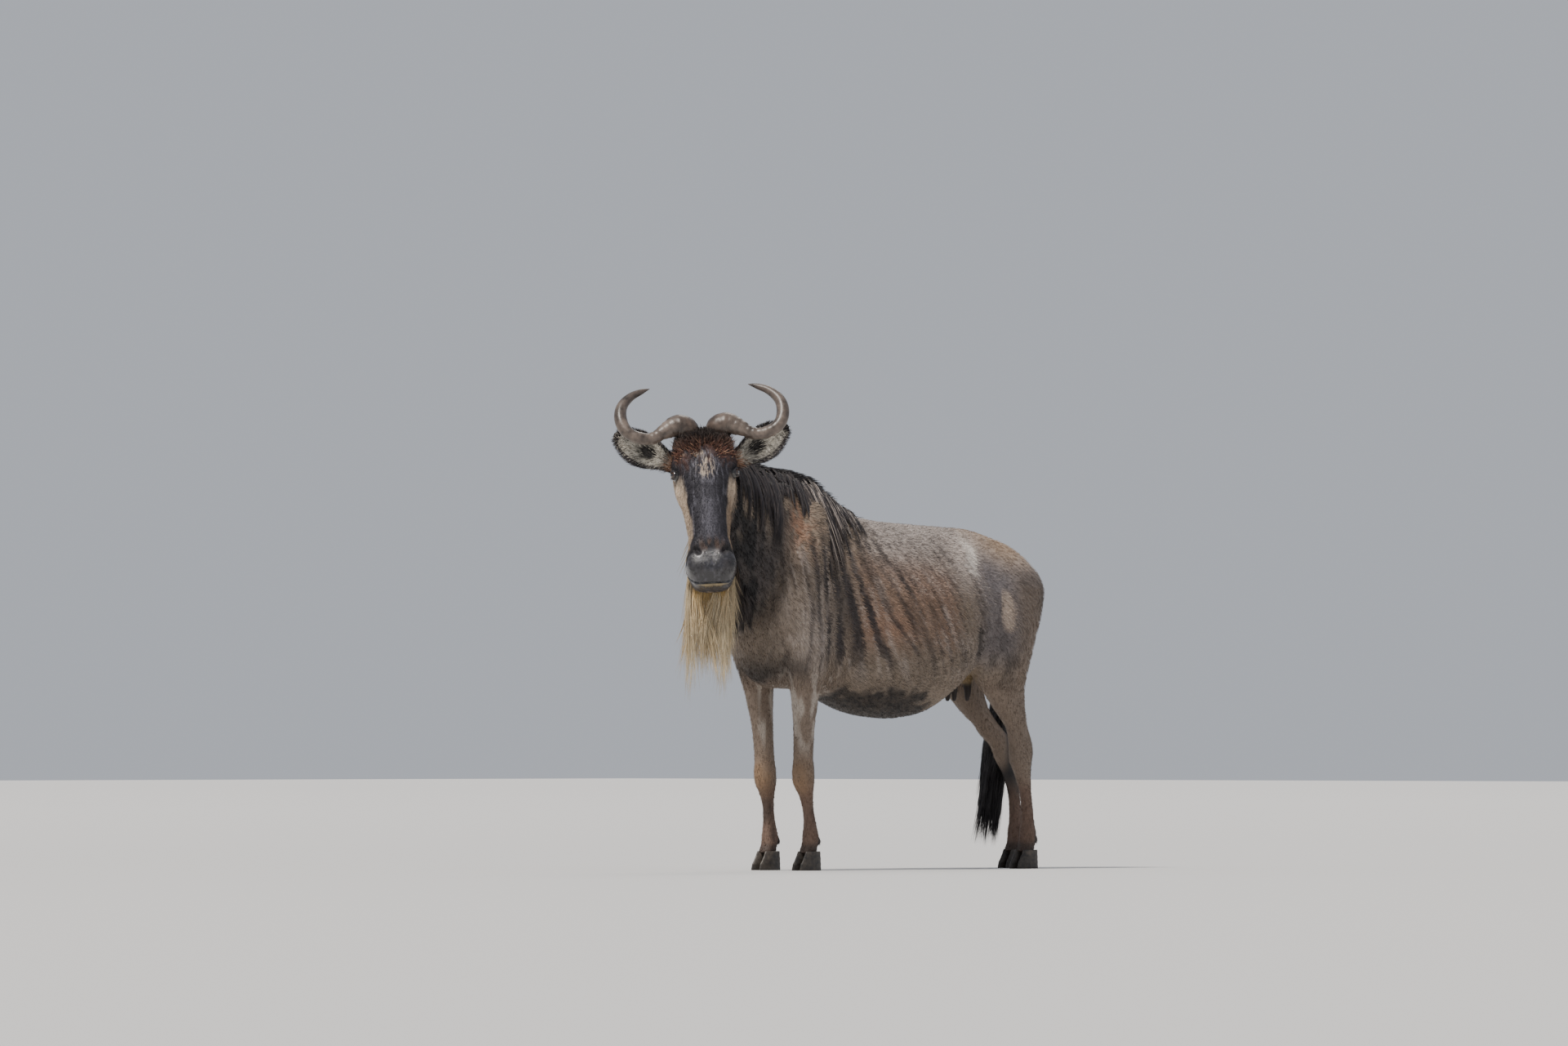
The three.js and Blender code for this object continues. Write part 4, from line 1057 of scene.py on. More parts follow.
def hair_object(name, paths, widths, flat, ups, roots, tips, material):
    """Tapered, three-sided tufts or strands along paths, one closed surface for each.

    ups are the ways their flat sides face, roots and tips are colours, and flat is thickness over width.
    """
    count, rings = paths.shape[:2]
    along = unit(np.gradient(paths, axis=1))
    out = unit(ups[:, None] - np.sum(ups[:, None] * along, -1, keepdims=True) * along)
    across = np.cross(along, out)
    share = np.linspace(0, 1, rings)
    taper = (ROOT_WIDTH + (1 - ROOT_WIDTH) * smooth(0, 0.3, share)) * (1 - share ** 2.2)
    body = slice(0, rings - 1)
    reach = (widths[:, None] * taper / 2)[:, body, None, None]
    thick = ((widths * flat)[:, None] * taper / 2)[:, body, None, None]
    ring = (paths[:, body, None] + across[:, body, None] * reach * np.cos(HAIR_CORNERS)[:, None]
            + out[:, body, None] * thick * np.sin(HAIR_CORNERS)[:, None])
    points = np.concatenate([ring.reshape(count, -1, 3), paths[:, -1:]], axis=1)
    each = points.shape[1]
    loops, sizes = [0, 1, 2], [3]
    for k in range(rings - 2):
        for j in range(3):
            n = (j + 1) % 3
            loops += [k * 3 + j, k * 3 + 3 + j, k * 3 + 3 + n, k * 3 + n]
            sizes.append(4)
    for j in range(3):
        loops += [(rings - 2) * 3 + j, each - 1, (rings - 2) * 3 + (j + 1) % 3]
        sizes.append(3)
    pattern, sizes = np.array(loops), np.array(sizes)
    all_loops = (pattern[None] + np.arange(count)[:, None] * each).ravel()
    all_sizes = np.tile(sizes, count)
    mesh = bpy.data.meshes.new(name)
    mesh.vertices.add(count * each)
    mesh.loops.add(len(all_loops))
    mesh.polygons.add(len(all_sizes))
    mesh.vertices.foreach_set("co", ((points.reshape(-1, 3) + ORIGIN) * MM).ravel())
    mesh.loops.foreach_set("vertex_index", all_loops)
    mesh.polygons.foreach_set("loop_start", np.concatenate([[0], np.cumsum(all_sizes)[:-1]]))
    mesh.update(calc_edges=True)
    mesh.validate()
    shares = np.concatenate([np.repeat(share[body], 3), [1.0]])[None, :, None]
    paint(mesh, "Markings", (roots[:, None] * (1 - shares) + tips[:, None] * shares).reshape(-1, 3))
    layer = mesh.uv_layers.new(name="OFBake")
    place = root_map(paths[:, 0])
    corner = pattern % 3
    spot = np.stack([corner / 2 * HAIR_UV, pattern / each * HAIR_UV], 1)
    layer.data.foreach_set("uv", (place[:, None] + spot[None]).ravel())
    return add_object(name, mesh, material)


def skin_samples(count, seed, weight):
    """Random places on the skin, with the normals there, thicker where the weight is larger."""
    mesh = bpy.data.objects["skin"].data
    mesh.calc_loop_triangles()
    corners = read(mesh.loop_triangles, "vertices", 3, int)
    points, normals = mesh_points(mesh), mesh_normals(mesh)
    a, b, c = (points[corners[:, k]] for k in range(3))
    area = np.linalg.norm(np.cross(b - a, c - a), axis=1) / 2
    chance = area * weight((a + b + c) / 3)
    draw = np.random.default_rng(seed)
    chosen = draw.choice(len(area), count, p=chance / chance.sum())
    s, t = draw.random((2, count, 1))
    flip = s + t > 1
    s, t = np.where(flip, 1 - s, s), np.where(flip, 1 - t, t)
    i, j, k = corners[chosen].T
    place = points[i] + (points[j] - points[i]) * s + (points[k] - points[i]) * t
    return place, unit(normals[i] * (1 - s - t) + normals[j] * s + normals[k] * t), draw


def lie_of(points):
    """The way the coat lies at each point: back along the trunk, and down rump, neck, legs and face."""
    x, z = points[:, 0], points[:, 2]
    lie = np.tile([0.9, 0.0, -0.42], (len(points), 1))
    ways = (
        ([0.3, 0, -0.95], smooth(480, 680, x)),
        ([0.55, 0, -0.83], smooth(-250, -420, x)),
        ([0.12, 0, -1.0], (1 - smooth(LEG_TOP, 760, z)) * ((x < -150) | (x > 430))),
        (HEAD_SPIN @ np.array([0.25, 0, -1.0]), in_head(points)),
    )
    for way, share in ways:
        lie = lie * (1 - share[:, None]) + np.array(way) * share[:, None]
    return lie


def bare_places(points):
    """1 where fur grows and 0 where the skin is bare."""
    local = into_head(points)
    folded = fold_right(local)
    eye = smooth(21, 27, np.linalg.norm(folded - EYE_AT, axis=1) + 8 * (folded[:, 0] > EYE_AT[0]))
    nose = 1 - smooth(-345, -356, local[:, 2]) * (1 - smooth(60, 75, local[:, 0])) * in_head(points)
    foot = smooth(60, 68, points[:, 2])
    teats = 1 - ((points[:, 2] < 590) & (np.abs(points[:, 0] - 455) < 64) & (np.abs(points[:, 1]) < 62))
    dock = 1 - ((points[:, 0] > 770) & (points[:, 2] > 250) & (points[:, 2] < 640))
    return eye * nose * foot * teats * dock


def tuft_paths(points, normals, lengths, lifts, draw, sway):
    """Short tufts that start inside the skin and lie along it."""
    lie = lie_of(points) + draw.normal(0, sway, points.shape)
    lie = unit(lie - np.sum(lie * normals, 1, keepdims=True) * normals)
    shares = np.array([0.0, 0.45, 1.0])
    rise = np.array([-1.0, 1.0, 0.85])
    return (points[:, None] + lie[:, None] * (shares * lengths[:, None])[..., None]
            + normals[:, None] * (rise * lifts[:, None])[..., None])


def coat_piece(name, count, seed, weight, length, width, lift, sway=0.12, bright=(0.75, 1.3)):
    """A piece of the short coat. Its tufts take their colour from the markings at their roots."""
    material = coat_material("Coat hair")
    points, normals, draw = skin_samples(count, seed, lambda p: weight(p) * bare_places(p))
    lengths = length * draw.uniform(0.65, 1.25, count)
    lifts = lift * draw.uniform(0.5, 1.4, count)
    paths = tuft_paths(points, normals, lengths, lifts, draw, sway)
    colours = markings(points) * draw.uniform(*bright, (count, 1))
    widths = width * draw.uniform(0.7, 1.3, count)
    hair_object(name, paths, widths, 0.35, normals, colours * 0.92, colours * 1.12, material)


# Settings

def colour_setting(name, about, red, green, blue):
    return bpy.props.FloatVectorProperty(
        name=name, description=about, subtype="COLOR", size=3, min=0, max=1,
        default=tone(red, green, blue).tolist())


class WildebeestColours(bpy.types.PropertyGroup):
    flank: colour_setting("Flank", "Grey-tan of the sides", 122, 108, 94)
    silver: colour_setting("Silver", "Sunlit grey of the back", 176, 164, 156)
    # The hip colour is a painted highlight: on the hip bone and in pale streaks on the upper forelegs.
    hip: colour_setting("Hip", "Pale patch below the hip bone and pale veins of the forelegs", 236, 228, 218)
    haunch: colour_setting("Haunch", "Blue-grey of the haunch", 98, 92, 94)
    # The sheen colour is partly blue-grey hair of the face and partly painted highlight, down the ridge of
    # the blaze and in specks on the nose pad.
    sheen: colour_setting("Sheen", "Blue-grey hairs of the face", 122, 120, 130)
    brown: colour_setting("Brown", "Brown sheen over the ribs", 132, 100, 80)
    grey: colour_setting("Grey", "Grey of the lower jaw", 112, 104, 102)
    rump: colour_setting("Rump", "Tan of the croup", 158, 130, 102)
    stripe: colour_setting("Stripe", "Dark upright bands", 44, 38, 40)
    shade: colour_setting("Shade", "Black-brown of the underside and folds", 36, 28, 25)
    rust: colour_setting("Rust", "Rusty patch above the shoulder", 148, 114, 92)
    neck: colour_setting("Neck", "Grey-brown of the neck", 68, 61, 59)
    mane: colour_setting("Mane", "Black of the mane and tail", 26, 23, 26)
    leg: colour_setting("Leg", "Grey-brown of the upper legs", 124, 108, 94)
    knee: colour_setting("Knee", "Golden brown of the knees", 146, 114, 82)
    cannon: colour_setting("Cannon", "Reddish brown of the lower legs", 106, 82, 68)
    udder: colour_setting("Udder", "Bare skin of the udder", 128, 108, 76)
    cheek: colour_setting("Cheek", "Cream of the cheeks", 196, 176, 154)
    blaze: colour_setting("Blaze", "Black of the face", 33, 30, 38)
    forehead: colour_setting("Forehead", "Red-brown of the forehead", 86, 56, 46)
    muzzle: colour_setting("Muzzle", "Dark grey of the nose", 52, 50, 55)
    beard: colour_setting("Beard", "Cream of the beard", 234, 216, 182)
    beard_root: colour_setting("Beard root", "Golden hair under the chin", 216, 174, 96)
    ear: colour_setting("Ear", "Pale hair in the ear", 196, 190, 178)


class WildebeestSizes(bpy.types.PropertyGroup):
    voxel: bpy.props.FloatProperty(
        name="Skin detail", description="Size of the skin's faces", default=0.0062, unit="LENGTH", min=0.003)
    coat_length: bpy.props.FloatProperty(
        name="Coat", description="Length of the body's short hair", default=0.019, unit="LENGTH")
    mane_length: bpy.props.FloatProperty(
        name="Mane", description="Length of the mane's falling hair", default=0.255, unit="LENGTH")
    beard_length: bpy.props.FloatProperty(
        name="Beard", description="Length of the hair under the chin", default=0.372, unit="LENGTH")


# Pieces

class WILDEBEEST_OT_skin(bpy.types.Operator):
    """One skin over trunk, neck, head, legs, udder and dock"""
    bl_idname = "wildebeest.skin"
    bl_label = "Skin"

    def execute(self, context):
        material = coat_material("Skin")
        obj = make_object("skin", flesh_parts(), material)
        remesh = obj.modifiers.new("One surface", "REMESH")
        remesh.mode = "VOXEL"
        remesh.voxel_size = context.scene.wildebeest_sizes.voxel
        graph = context.evaluated_depsgraph_get()
        fused = bpy.data.meshes.new_from_object(obj.evaluated_get(graph))
        obj.modifiers.remove(remesh)
        obj.data = fused
        mesh = obj.data
        points, edges = mesh_points(mesh), mesh_edges(mesh)
        head = in_head(points)
        low = 1 - smooth(450, 640, points[:, 2])
        points = relax(points, edges, 14, 0.5 * (1 - head) * (1 - 0.85 * low) + 0.08)
        set_points(mesh, points)
        split_finer(mesh, lambda p: in_head(p) > 0.3)
        split_finer(mesh, near_features)
        points, edges = mesh_points(mesh), mesh_edges(mesh)
        points = relax(points, edges, 4, 0.4 * in_head(points))
        set_points(mesh, points)
        points = swell_body(points, mesh_normals(mesh))
        points = swell_face(points, mesh_normals(mesh))
        points = open_lids(points)
        points = relax(points, edges, 1, np.full(len(points), 0.3))
        set_points(mesh, points)
        mesh.shade_smooth()
        mesh.materials.clear()
        mesh.materials.append(material)
        paint(mesh, "Markings", markings(points) * 0.85)
        mark(mesh, "Damp", muzzle_pad(into_head(points)) * in_head(points))
        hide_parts("torso", "neck", "head", "udder", "tail",
                    *(f"{leg}leg_{name}" for leg in ("fore", "hind") for name in SIDES))
        return {"FINISHED"}


class WILDEBEEST_OT_ears(bpy.types.Operator):
    """The two cupped ears, with pale hair inside and dark rims"""
    bl_idname = "wildebeest.ears"
    bl_label = "Ears"

    def execute(self, context):
        for name, side in SIDES.items():
            root, axis, along, face, across = ear_frame(side)
            share = np.linspace(0, 1, EAR_RINGS)
            half, deep, hollow = EAR(share)
            middle = ear_middle(root, axis, share)[:, None]
            rim = np.minimum(3.4, half * 0.4)[:, None]
            depth = np.where(hollow < 0.99, deep * (hollow - (1 - hollow) * 0.8), deep)[:, None] - rim
            ripple = 1.2 * np.sin(EAR_INNER * 7) * smooth(0.2, 0.5, share)[:, None]
            outer = (middle + across * ((half - 1)[:, None] * np.sin(EAR_OUTER))[..., None]
                     - face * ((deep - 1)[:, None] * np.cos(EAR_OUTER))[..., None])
            inner = (middle + across * ((half[:, None] - rim) * np.sin(EAR_INNER))[..., None]
                     - face * (depth * np.cos(EAR_INNER) + ripple * np.cos(EAR_INNER))[..., None])
            points, faces = shell(np.concatenate([outer, inner], axis=1))
            obj = make_object(f"ear_shell_{name}", [(from_head(points), faces)], coat_material("Skin"))
            outside = np.arange(len(EAR_OUTER) + len(EAR_INNER)) < len(EAR_OUTER)
            inside = np.tile(~outside, EAR_RINGS)
            edge = np.concatenate([np.abs(EAR_OUTER) > 0.7, np.abs(EAR_INNER) > 0.95])
            edge = np.tile(edge, EAR_RINGS)
            shares = np.repeat(share, len(outside))
            colours = choose(inside, setting("ear"), setting("leg") * 0.7)
            colours = choose(edge | (shares > 0.9), setting("stripe"), colours)
            # Painted shade in the middle of the ear's hollow.
            hollow_at = np.concatenate([np.zeros(len(EAR_OUTER)), np.cos(EAR_INNER) ** 4])
            centre = inside * np.exp(-((shares - 0.46) / 0.2) ** 2) * np.tile(hollow_at, EAR_RINGS)
            colours = blend_in(colours, setting("shade") * 0.3, smooth(0.3, 0.8, centre))
            colours = blend_in(colours, setting("rust"), (1 - smooth(0.1, 0.26, shares)) * 0.6)
            paint(obj.data, "Markings", np.vstack([colours, colours[:1], colours[-1:]]))
            mark(obj.data, "Damp", np.zeros(len(obj.data.vertices)))
            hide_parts(f"ear_{name}")
            self.hair(name, side, root, axis, along, face, across)
        return {"FINISHED"}

    def hair(self, name, side, root, axis, along, face, across):
        """Long pale hair inside, a dark fringe on the rim and short hair outside, with painted shade on the
        hairs in the middle of the hollow.
        """
        draw = np.random.default_rng(40 + side)
        count = 4400
        share = draw.uniform(0.02, 0.97, count)
        half, deep, hollow = EAR(share)
        kind = draw.random(count)
        inside = kind < 0.42
        rimmed = (kind >= 0.42) & (kind < 0.66)
        on_rim = np.sign(draw.random(count) - 0.5) * draw.uniform(78, 90, count)
        angle = np.radians(np.where(rimmed, on_rim, draw.uniform(-86, 86, count)))
        reach = np.where(inside, half - 4, half - 1)
        depth = np.where(inside, deep * (hollow - (1 - hollow) * 0.8) - 4, deep - 1)
        # Painted shade on the hairs in the middle of the hollow.
        hole_shade = np.exp(-((share - 0.44) / 0.15) ** 2) * np.cos(angle) ** 9 > draw.uniform(0.1, 0.95, count)
        place = (ear_middle(root, axis, share) + across * (reach * np.sin(angle))[:, None]
                 - face * (depth * np.cos(angle))[:, None])
        outward = across * np.sin(angle)[:, None] - face * np.cos(angle)[:, None]
        normal = choose(inside, -outward, outward)
        normal = choose(rimmed, unit(across * np.sin(angle)[:, None] + face * 0.3), normal)
        sweep = along + draw.normal(0, 0.16, (count, 3))
        spread = sweep * 0.7 + across * (np.sin(angle) * 1.2)[:, None] + face * 0.5
        sweep = choose(inside, spread, sweep)
        sweep = unit(choose(rimmed, sweep * 0.9 + normal * 0.3, sweep))
        long = np.where(inside, 24, np.where(rimmed, 17, 12)) * draw.uniform(0.6, 1.2, count)
        long = long * (1 - 0.4 * share)
        lift = np.where(inside, 3.0, 1.6)
        steps = np.array([0, 0.45, 1.0])
        rise = np.array([-0.8, 0.7, 1.0])
        paths = (place[:, None] + sweep[:, None] * (steps * long[:, None])[..., None]
                 + normal[:, None] * (rise * lift[:, None])[..., None])
        pale = setting("ear") * draw.uniform(0.2, 1.3, (count, 1))
        pale = choose(hole_shade, setting("shade") * 0.4, pale)
        pale = choose(share < draw.uniform(0.05, 0.22, count), setting("rust"), pale)
        fringe = (np.abs(angle) > draw.uniform(0.4, 1.5, count)) | (share > draw.uniform(0.72, 1.02, count))
        pale = choose(fringe, setting("stripe") * 1.5, pale)
        dark = choose(share > 0.2, setting("leg") * 0.6, setting("cheek") * 0.8)
        dark = dark * draw.uniform(0.7, 1.2, (count, 1))
        dark = choose(rimmed | (share > 0.9), setting("stripe"), dark)
        colours = choose(inside, pale, dark)
        widths = np.where(inside, 1.5, 1.9) * draw.uniform(0.7, 1.3, count)
        ups = normal @ HEAD_SPIN.T
        hair_object(f"ear_hair_{name}", from_head(paths), widths, 0.4,
                    ups, colours, colours * 1.1, coat_material("Coat hair"))


class WILDEBEEST_OT_eyes(bpy.types.Operator):
    """The dark eyes, each with a level pupil and a bulge in front"""
    bl_idname = "wildebeest.eyes"
    bl_label = "Eyes"

    def execute(self, context):
        material = eye_material()
        for name, side in SIDES.items():
            out, up, forward = eye_axes(side)
            points, faces = ball((0, 0, 0), (1, 1, 1), 40)
            bulge = smooth(0.72, 0.95, points[:, 2])
            axes = np.stack([forward, up, out])
            radius = (EYE_RADIUS - EYE_INSET + EYE_BULGE * bulge)[:, None]
            placed = EYE_AT * [1, side, 1] + (points * radius) @ axes
            obj = make_object(f"eyeball_{name}", [(from_head(placed), faces)], material)
            away = np.hypot(points[:, 0], points[:, 1])
            colours = np.tile(tone(50, 30, 18), (len(points), 1))
            pupil = 1 - smooth(0.9, 1.05, np.hypot(points[:, 0] / 0.42, points[:, 1] / 0.2))
            colours = blend_in(colours, tone(8, 7, 8), pupil)
            colours = blend_in(colours, tone(20, 14, 12), smooth(0.56, 0.64, away))
            paint(obj.data, "Markings", colours)
            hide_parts(f"eye_{name}")
        return {"FINISHED"}


def horn_groove(share):
    """The rings of a horn's rough half, as a change of its radius."""
    rings = np.sin(share * 150) * 0.5 + np.sin(share * 61) * 0.5
    return rings * (1 - smooth(0.35, 0.6, share)) * smooth(0.04, 0.12, share)


class WILDEBEEST_OT_horns(bpy.types.Operator):
    """The horns: a rough, broad boss that runs into a smooth, upswept tip"""
    bl_idname = "wildebeest.horns"
    bl_label = "Horns"

    def execute(self, context):
        material = horn_material("Horn", tone(62, 55, 51), tone(124, 112, 104), 0.36, 24.0)
        for name, side in SIDES.items():
            rows = [(x, side * y, z, radius - 0.4) for x, y, z, radius in HORN]
            points, faces = tube(rows, HORN_RINGS, HORN_AROUND, horn_groove)
            rough = (noise(points, 9, 11) - 0.5) * 2.4 + (noise(points, 3.5, 12) - 0.5) * 1.1
            share = np.append(np.repeat(np.linspace(0, 1, HORN_RINGS), HORN_AROUND), [0, 1])
            middle = np.array(rows)[:, :3].mean(0)
            points = points + unit(points - middle) * (rough * (1 - smooth(0.3, 0.5, share)))[:, None]
            obj = make_object(f"horn_body_{name}", [(from_head(points), faces)], material)
            colour = np.tile([0.9, 0.86, 0.82], (len(points), 1))
            colour = blend_in(colour, [0.55, 0.47, 0.42], 1 - smooth(0.05, 0.22, share))
            colour = blend_in(colour, [0.5, 0.47, 0.46], smooth(0.55, 0.9, share) * 0.8)
            paint(obj.data, "Markings", colour)
            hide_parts(f"horn_{name}")
        return {"FINISHED"}


class WILDEBEEST_OT_hooves(bpy.types.Operator):
    """The eight claws of the cloven hooves"""
    bl_idname = "wildebeest.hooves"
    bl_label = "Hooves"

    def execute(self, context):
        material = horn_material("Hoof", tone(34, 30, 28), tone(78, 70, 62), 0.42, 60.0)
        for name, side in SIDES.items():
            for foot, x in (("fore", FORE_X), ("hind", HIND_X[name])):
                for which, off in (("inner", -CLAW_OFF), ("outer", CLAW_OFF)):
                    y = side * (FOOT_Y[foot] + off)
                    height = np.concatenate([SOLE_HEIGHTS, np.linspace(5, HOOF_TOP + 1, CLAW_RINGS)])
                    inset = np.concatenate([SOLE_INSETS, np.zeros(CLAW_RINGS)])[:, None]
                    angles = np.linspace(0, 360, 48, endpoint=False)
                    shift, long, wide = (v[:, None] for v in CLAW(height))
                    across, along = section(angles[None], 2.2, 0.0, 0.45)
                    ring = 0.35 * np.sin(height / 2.6)[:, None] * smooth(4, 9, height)[:, None]
                    points = np.stack([
                        x - HOOF_AHEAD + shift + along * (long - inset - CLAW_INSET + ring),
                        y + across * (wide - inset - CLAW_INSET + ring),
                        height[:, None] + 0 * across,
                    ], axis=-1)
                    obj = make_object(f"claw_{foot}_{name}_{which}", [shell(points)], material)
                    shade = 0.7 + 0.5 * smooth(0, 60, mesh_points(obj.data)[:, 2])
                    paint(obj.data, "Markings", np.repeat(shade[:, None], 3, 1))
                    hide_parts(f"hoof_{foot}_{name}_{which}")
        return {"FINISHED"}


# Pieces of the trunk's coat: name, from which x to which, and how many tufts
COAT_STRETCHES = (
    ("neck", -900, -300, 11000), ("shoulder", -300, 20, 12500),
    ("flank", 20, 400, 14000), ("haunch", 400, 900, 12500),
)


class WILDEBEEST_OT_coat(bpy.types.Operator):
    """The short coat in thin tufts that lie along the body, the legs and the face"""
    bl_idname = "wildebeest.coat"
    bl_label = "Short coat"

    def execute(self, context):
        length = context.scene.wildebeest_sizes.coat_length / MM

        def body(low, high):
            def weight(p):
                here = (p[:, 2] > LEG_TOP) & (p[:, 0] > low) & (p[:, 0] <= high)
                return (here & (in_head(p) < 0.5)) + HARDLY_ANY
            return weight

        def legs(p):
            return (p[:, 2] <= LEG_TOP) + HARDLY_ANY

        def face(p):
            return (in_head(p) >= 0.5) + HARDLY_ANY

        for order, (name, low, high, count) in enumerate(COAT_STRETCHES):
            coat_piece(f"coat_{name}", count, 100 + order, body(low, high), length, 2.7, 2.6)
        coat_piece("coat_legs", 12000, 110, legs, 11.0, 1.9, 1.7)
        coat_piece("coat_face", 16500, 111, face, 9.5, 1.4, 1.5, 0.2, (0.6, 1.6))
        return {"FINISHED"}


class Clumps:
    """Seeded numbers for hair in clumps: one for each hair, or one for a clump that its hairs share."""

    def __init__(self, seed, clumps, count):
        self.draw = np.random.default_rng(seed)
        self.clumps = clumps
        self.count = count
        self.of = self.draw.integers(0, clumps, count)

    def shared(self, low, high):
        return self.draw.uniform(low, high, self.clumps)[self.of]

    def single(self, low, high):
        return self.draw.uniform(low, high, self.count)

    def stray(self, spread):
        return self.draw.normal(0, spread, self.count)


def sprout(point_at, stations, angles, depth):
    """Roots at a depth inside the solids, and the ways out there."""
    roots = point_at(stations, angles, -depth)
    return roots, unit(point_at(stations, angles, 20.0) - roots)


def falling_strands(point_at, stations, angles, long, drift, lifts, side):
    """Long hair from the crest down one side of the neck or trunk."""
    share = np.linspace(0, 1, STRAND_STEPS)[None]
    fall = share * long[:, None]
    degrees = angles[:, None] - fall / FALL * FALL_DEGREES
    at = stations[:, None] - drift[:, None] * fall / FALL
    lift = -6 + (lifts[:, None] + 6) * smooth(0, 0.12, share) * (1 - 0.45 * share)
    lift = lift + 3 * np.sin(share * 7 + stations[:, None] * 5) * share
    around = degrees if side < 0 else 180 - degrees
    return point_at(at, around, lift)


class WILDEBEEST_OT_mane(bpy.types.Operator):
    """The black mane: long hair over the neck and shoulder, and shorter hair along the crest"""
    bl_idname = "wildebeest.mane"
    bl_label = "Mane"

    def execute(self, context):
        length = context.scene.wildebeest_sizes.mane_length / MM
        material = coat_material("Long hair")
        for name, side, count, share in (("left", -1, 2100, 1.0), ("right", 1, 1200, 0.62)):
            hair = Clumps(200 + side, MANE_CLUMPS, count)
            centres = np.linspace(0.7, 5.8, MANE_CLUMPS)
            station = centres[hair.of] + hair.stray(0.035)
            clump_long = hair.draw.uniform(0.45, 1.2, MANE_CLUMPS)
            clump_long *= 1 - 0.7 * band(centres, 0.75, 2.15, 0.2)
            long = length * share * clump_long[hair.of] * hair.single(0.85, 1.05)
            long = long * (1.05 - 0.06 * station)
            drift = np.interp(station, [2.6, 5.0], [0.62, 0.0])
            drift = drift + hair.draw.normal(0, 0.03, MANE_CLUMPS)[hair.of]
            angle = 88 - hair.shared(0, 34) - hair.single(0, 5)
            lifts = 4 + hair.shared(0, 7) + hair.single(0, 3)
            lifts = lifts * np.interp(station, [1.0, 3.5, 5.5], [1, 0.8, 0.5])
            paths = falling_strands(neck_point, station, angle, long, drift, lifts, side)
            pale = hair.draw.random(MANE_CLUMPS)[hair.of] < 0.3 * smooth(4.2, 5.6, station)
            self.strands(f"mane_neck_{name}", paths, hair.draw, material, 3.2, pale)
        for name, side, count, share in (("left", -1, 1100, 0.85), ("right", 1, 700, 0.5)):
            hair = Clumps(210 + side, SHOULDER_CLUMPS, count)
            station = np.linspace(-275, -60, SHOULDER_CLUMPS)[hair.of] + hair.stray(2.5)
            long = length * share * hair.shared(0.7, 1.15)
            long = long * hair.single(0.85, 1.05)
            long = long * np.interp(station, [-275, -200, -60], [1.0, 0.72, 0.24])
            angle = 88 - hair.shared(0, 20) - hair.single(0, 4)
            lifts = 4 + hair.shared(0, 6) + hair.single(0, 3)
            drift = np.full(count, -22.0)
            paths = falling_strands(torso_point, station, angle, long, drift, lifts, side)
            pale = hair.draw.random(count) > 0.8
            self.strands(f"mane_shoulder_{name}", paths, hair.draw, material, 2.8, pale)
        self.crest(material)
        return {"FINISHED"}

    def strands(self, name, paths, draw, material, width, pale):
        """Black hair with some brown strands, and paler ones where asked."""
        count = len(paths)
        widths = width * draw.uniform(0.6, 1.35, count)
        ups = unit(paths[:, 3] - (paths[:, 3] * [1, 0, 1] + [0, 0, -160]))
        colours = setting("mane") * draw.uniform(0.6, 1.9, (count, 1))
        brown = draw.random(count) > 0.7
        colours = choose(brown, setting("neck") * draw.uniform(0.6, 1.3, (count, 1)), colours)
        colours = choose(pale, setting("silver") * draw.uniform(0.35, 0.85, (count, 1)), colours)
        hair_object(name, paths, widths, 0.35, ups, colours, colours * 1.35, material)

    def crest(self, material):
        """Short, upright hair along the middle of neck and withers."""
        draw = np.random.default_rng(230)
        count = 2600
        on_neck = np.arange(count) < 1350
        station = np.where(on_neck, draw.uniform(0.6, 5.6, count), -312 + 282 * draw.random(count) ** 1.3)
        angle = 90 + draw.normal(0, 7, count)
        neck = neck_point(np.clip(station, 0, 6), angle, -5.0)
        torso = torso_point(station, angle, -5.0)
        root = choose(on_neck, neck, torso)
        shorter_forward = np.interp(station, [0.6, 2.4, 4.6, 5.6], [1.0, 0.75, 0.5, 0.25])
        shorter_back = np.interp(station, [-290, -30], [1, 0.45])
        long = draw.uniform(26, 50, count) * np.where(on_neck, shorter_forward, shorter_back)
        lean = np.stack([draw.uniform(0.65, 1.1, count), -0.35 + draw.normal(0, 0.3, count), 0 * station], 1)
        share = np.linspace(0, 1, 5)[None, :, None]
        tall = np.where(on_neck, 1, np.interp(station, [-312, -280, -220], [3.4, 2.4, 1.0]))
        rise = np.array([0, 0, 1.0]) * (share * (0.6 - 0.4 * share)) * (tall * long)[:, None, None]
        paths = root[:, None] + rise + lean[:, None] * share ** 1.2 * long[:, None, None] * 0.9
        widths = 2.8 * draw.uniform(0.6, 1.3, count)
        colours = setting("mane") * draw.uniform(0.6, 1.9, (count, 1))
        ups = np.tile([0.0, 1.0, 0.2], (count, 1))
        hair_object("mane_crest", paths, widths, 0.4, ups, colours, colours * 1.3, material)


def hanging_strands(roots, outs, long, push, wander, draw):
    """Hair that leaves the skin outwards and then hangs plumb, with a slow wave."""
    share = np.linspace(0, 1, STRAND_STEPS)[None, :, None]
    out = outs[:, None] * push[:, None, None] * smooth(0, 0.22, share) * (1 - 0.25 * share)
    fall = np.array([0, 0, -1.0]) * share * long[:, None, None]
    sway = wander[:, None] * share ** 1.6
    wave = outs[:, None] * 2.5 * np.sin(share * 8 + draw.uniform(0, 6, (len(roots), 1, 1))) * share
    return roots[:, None] + out + fall + sway + wave


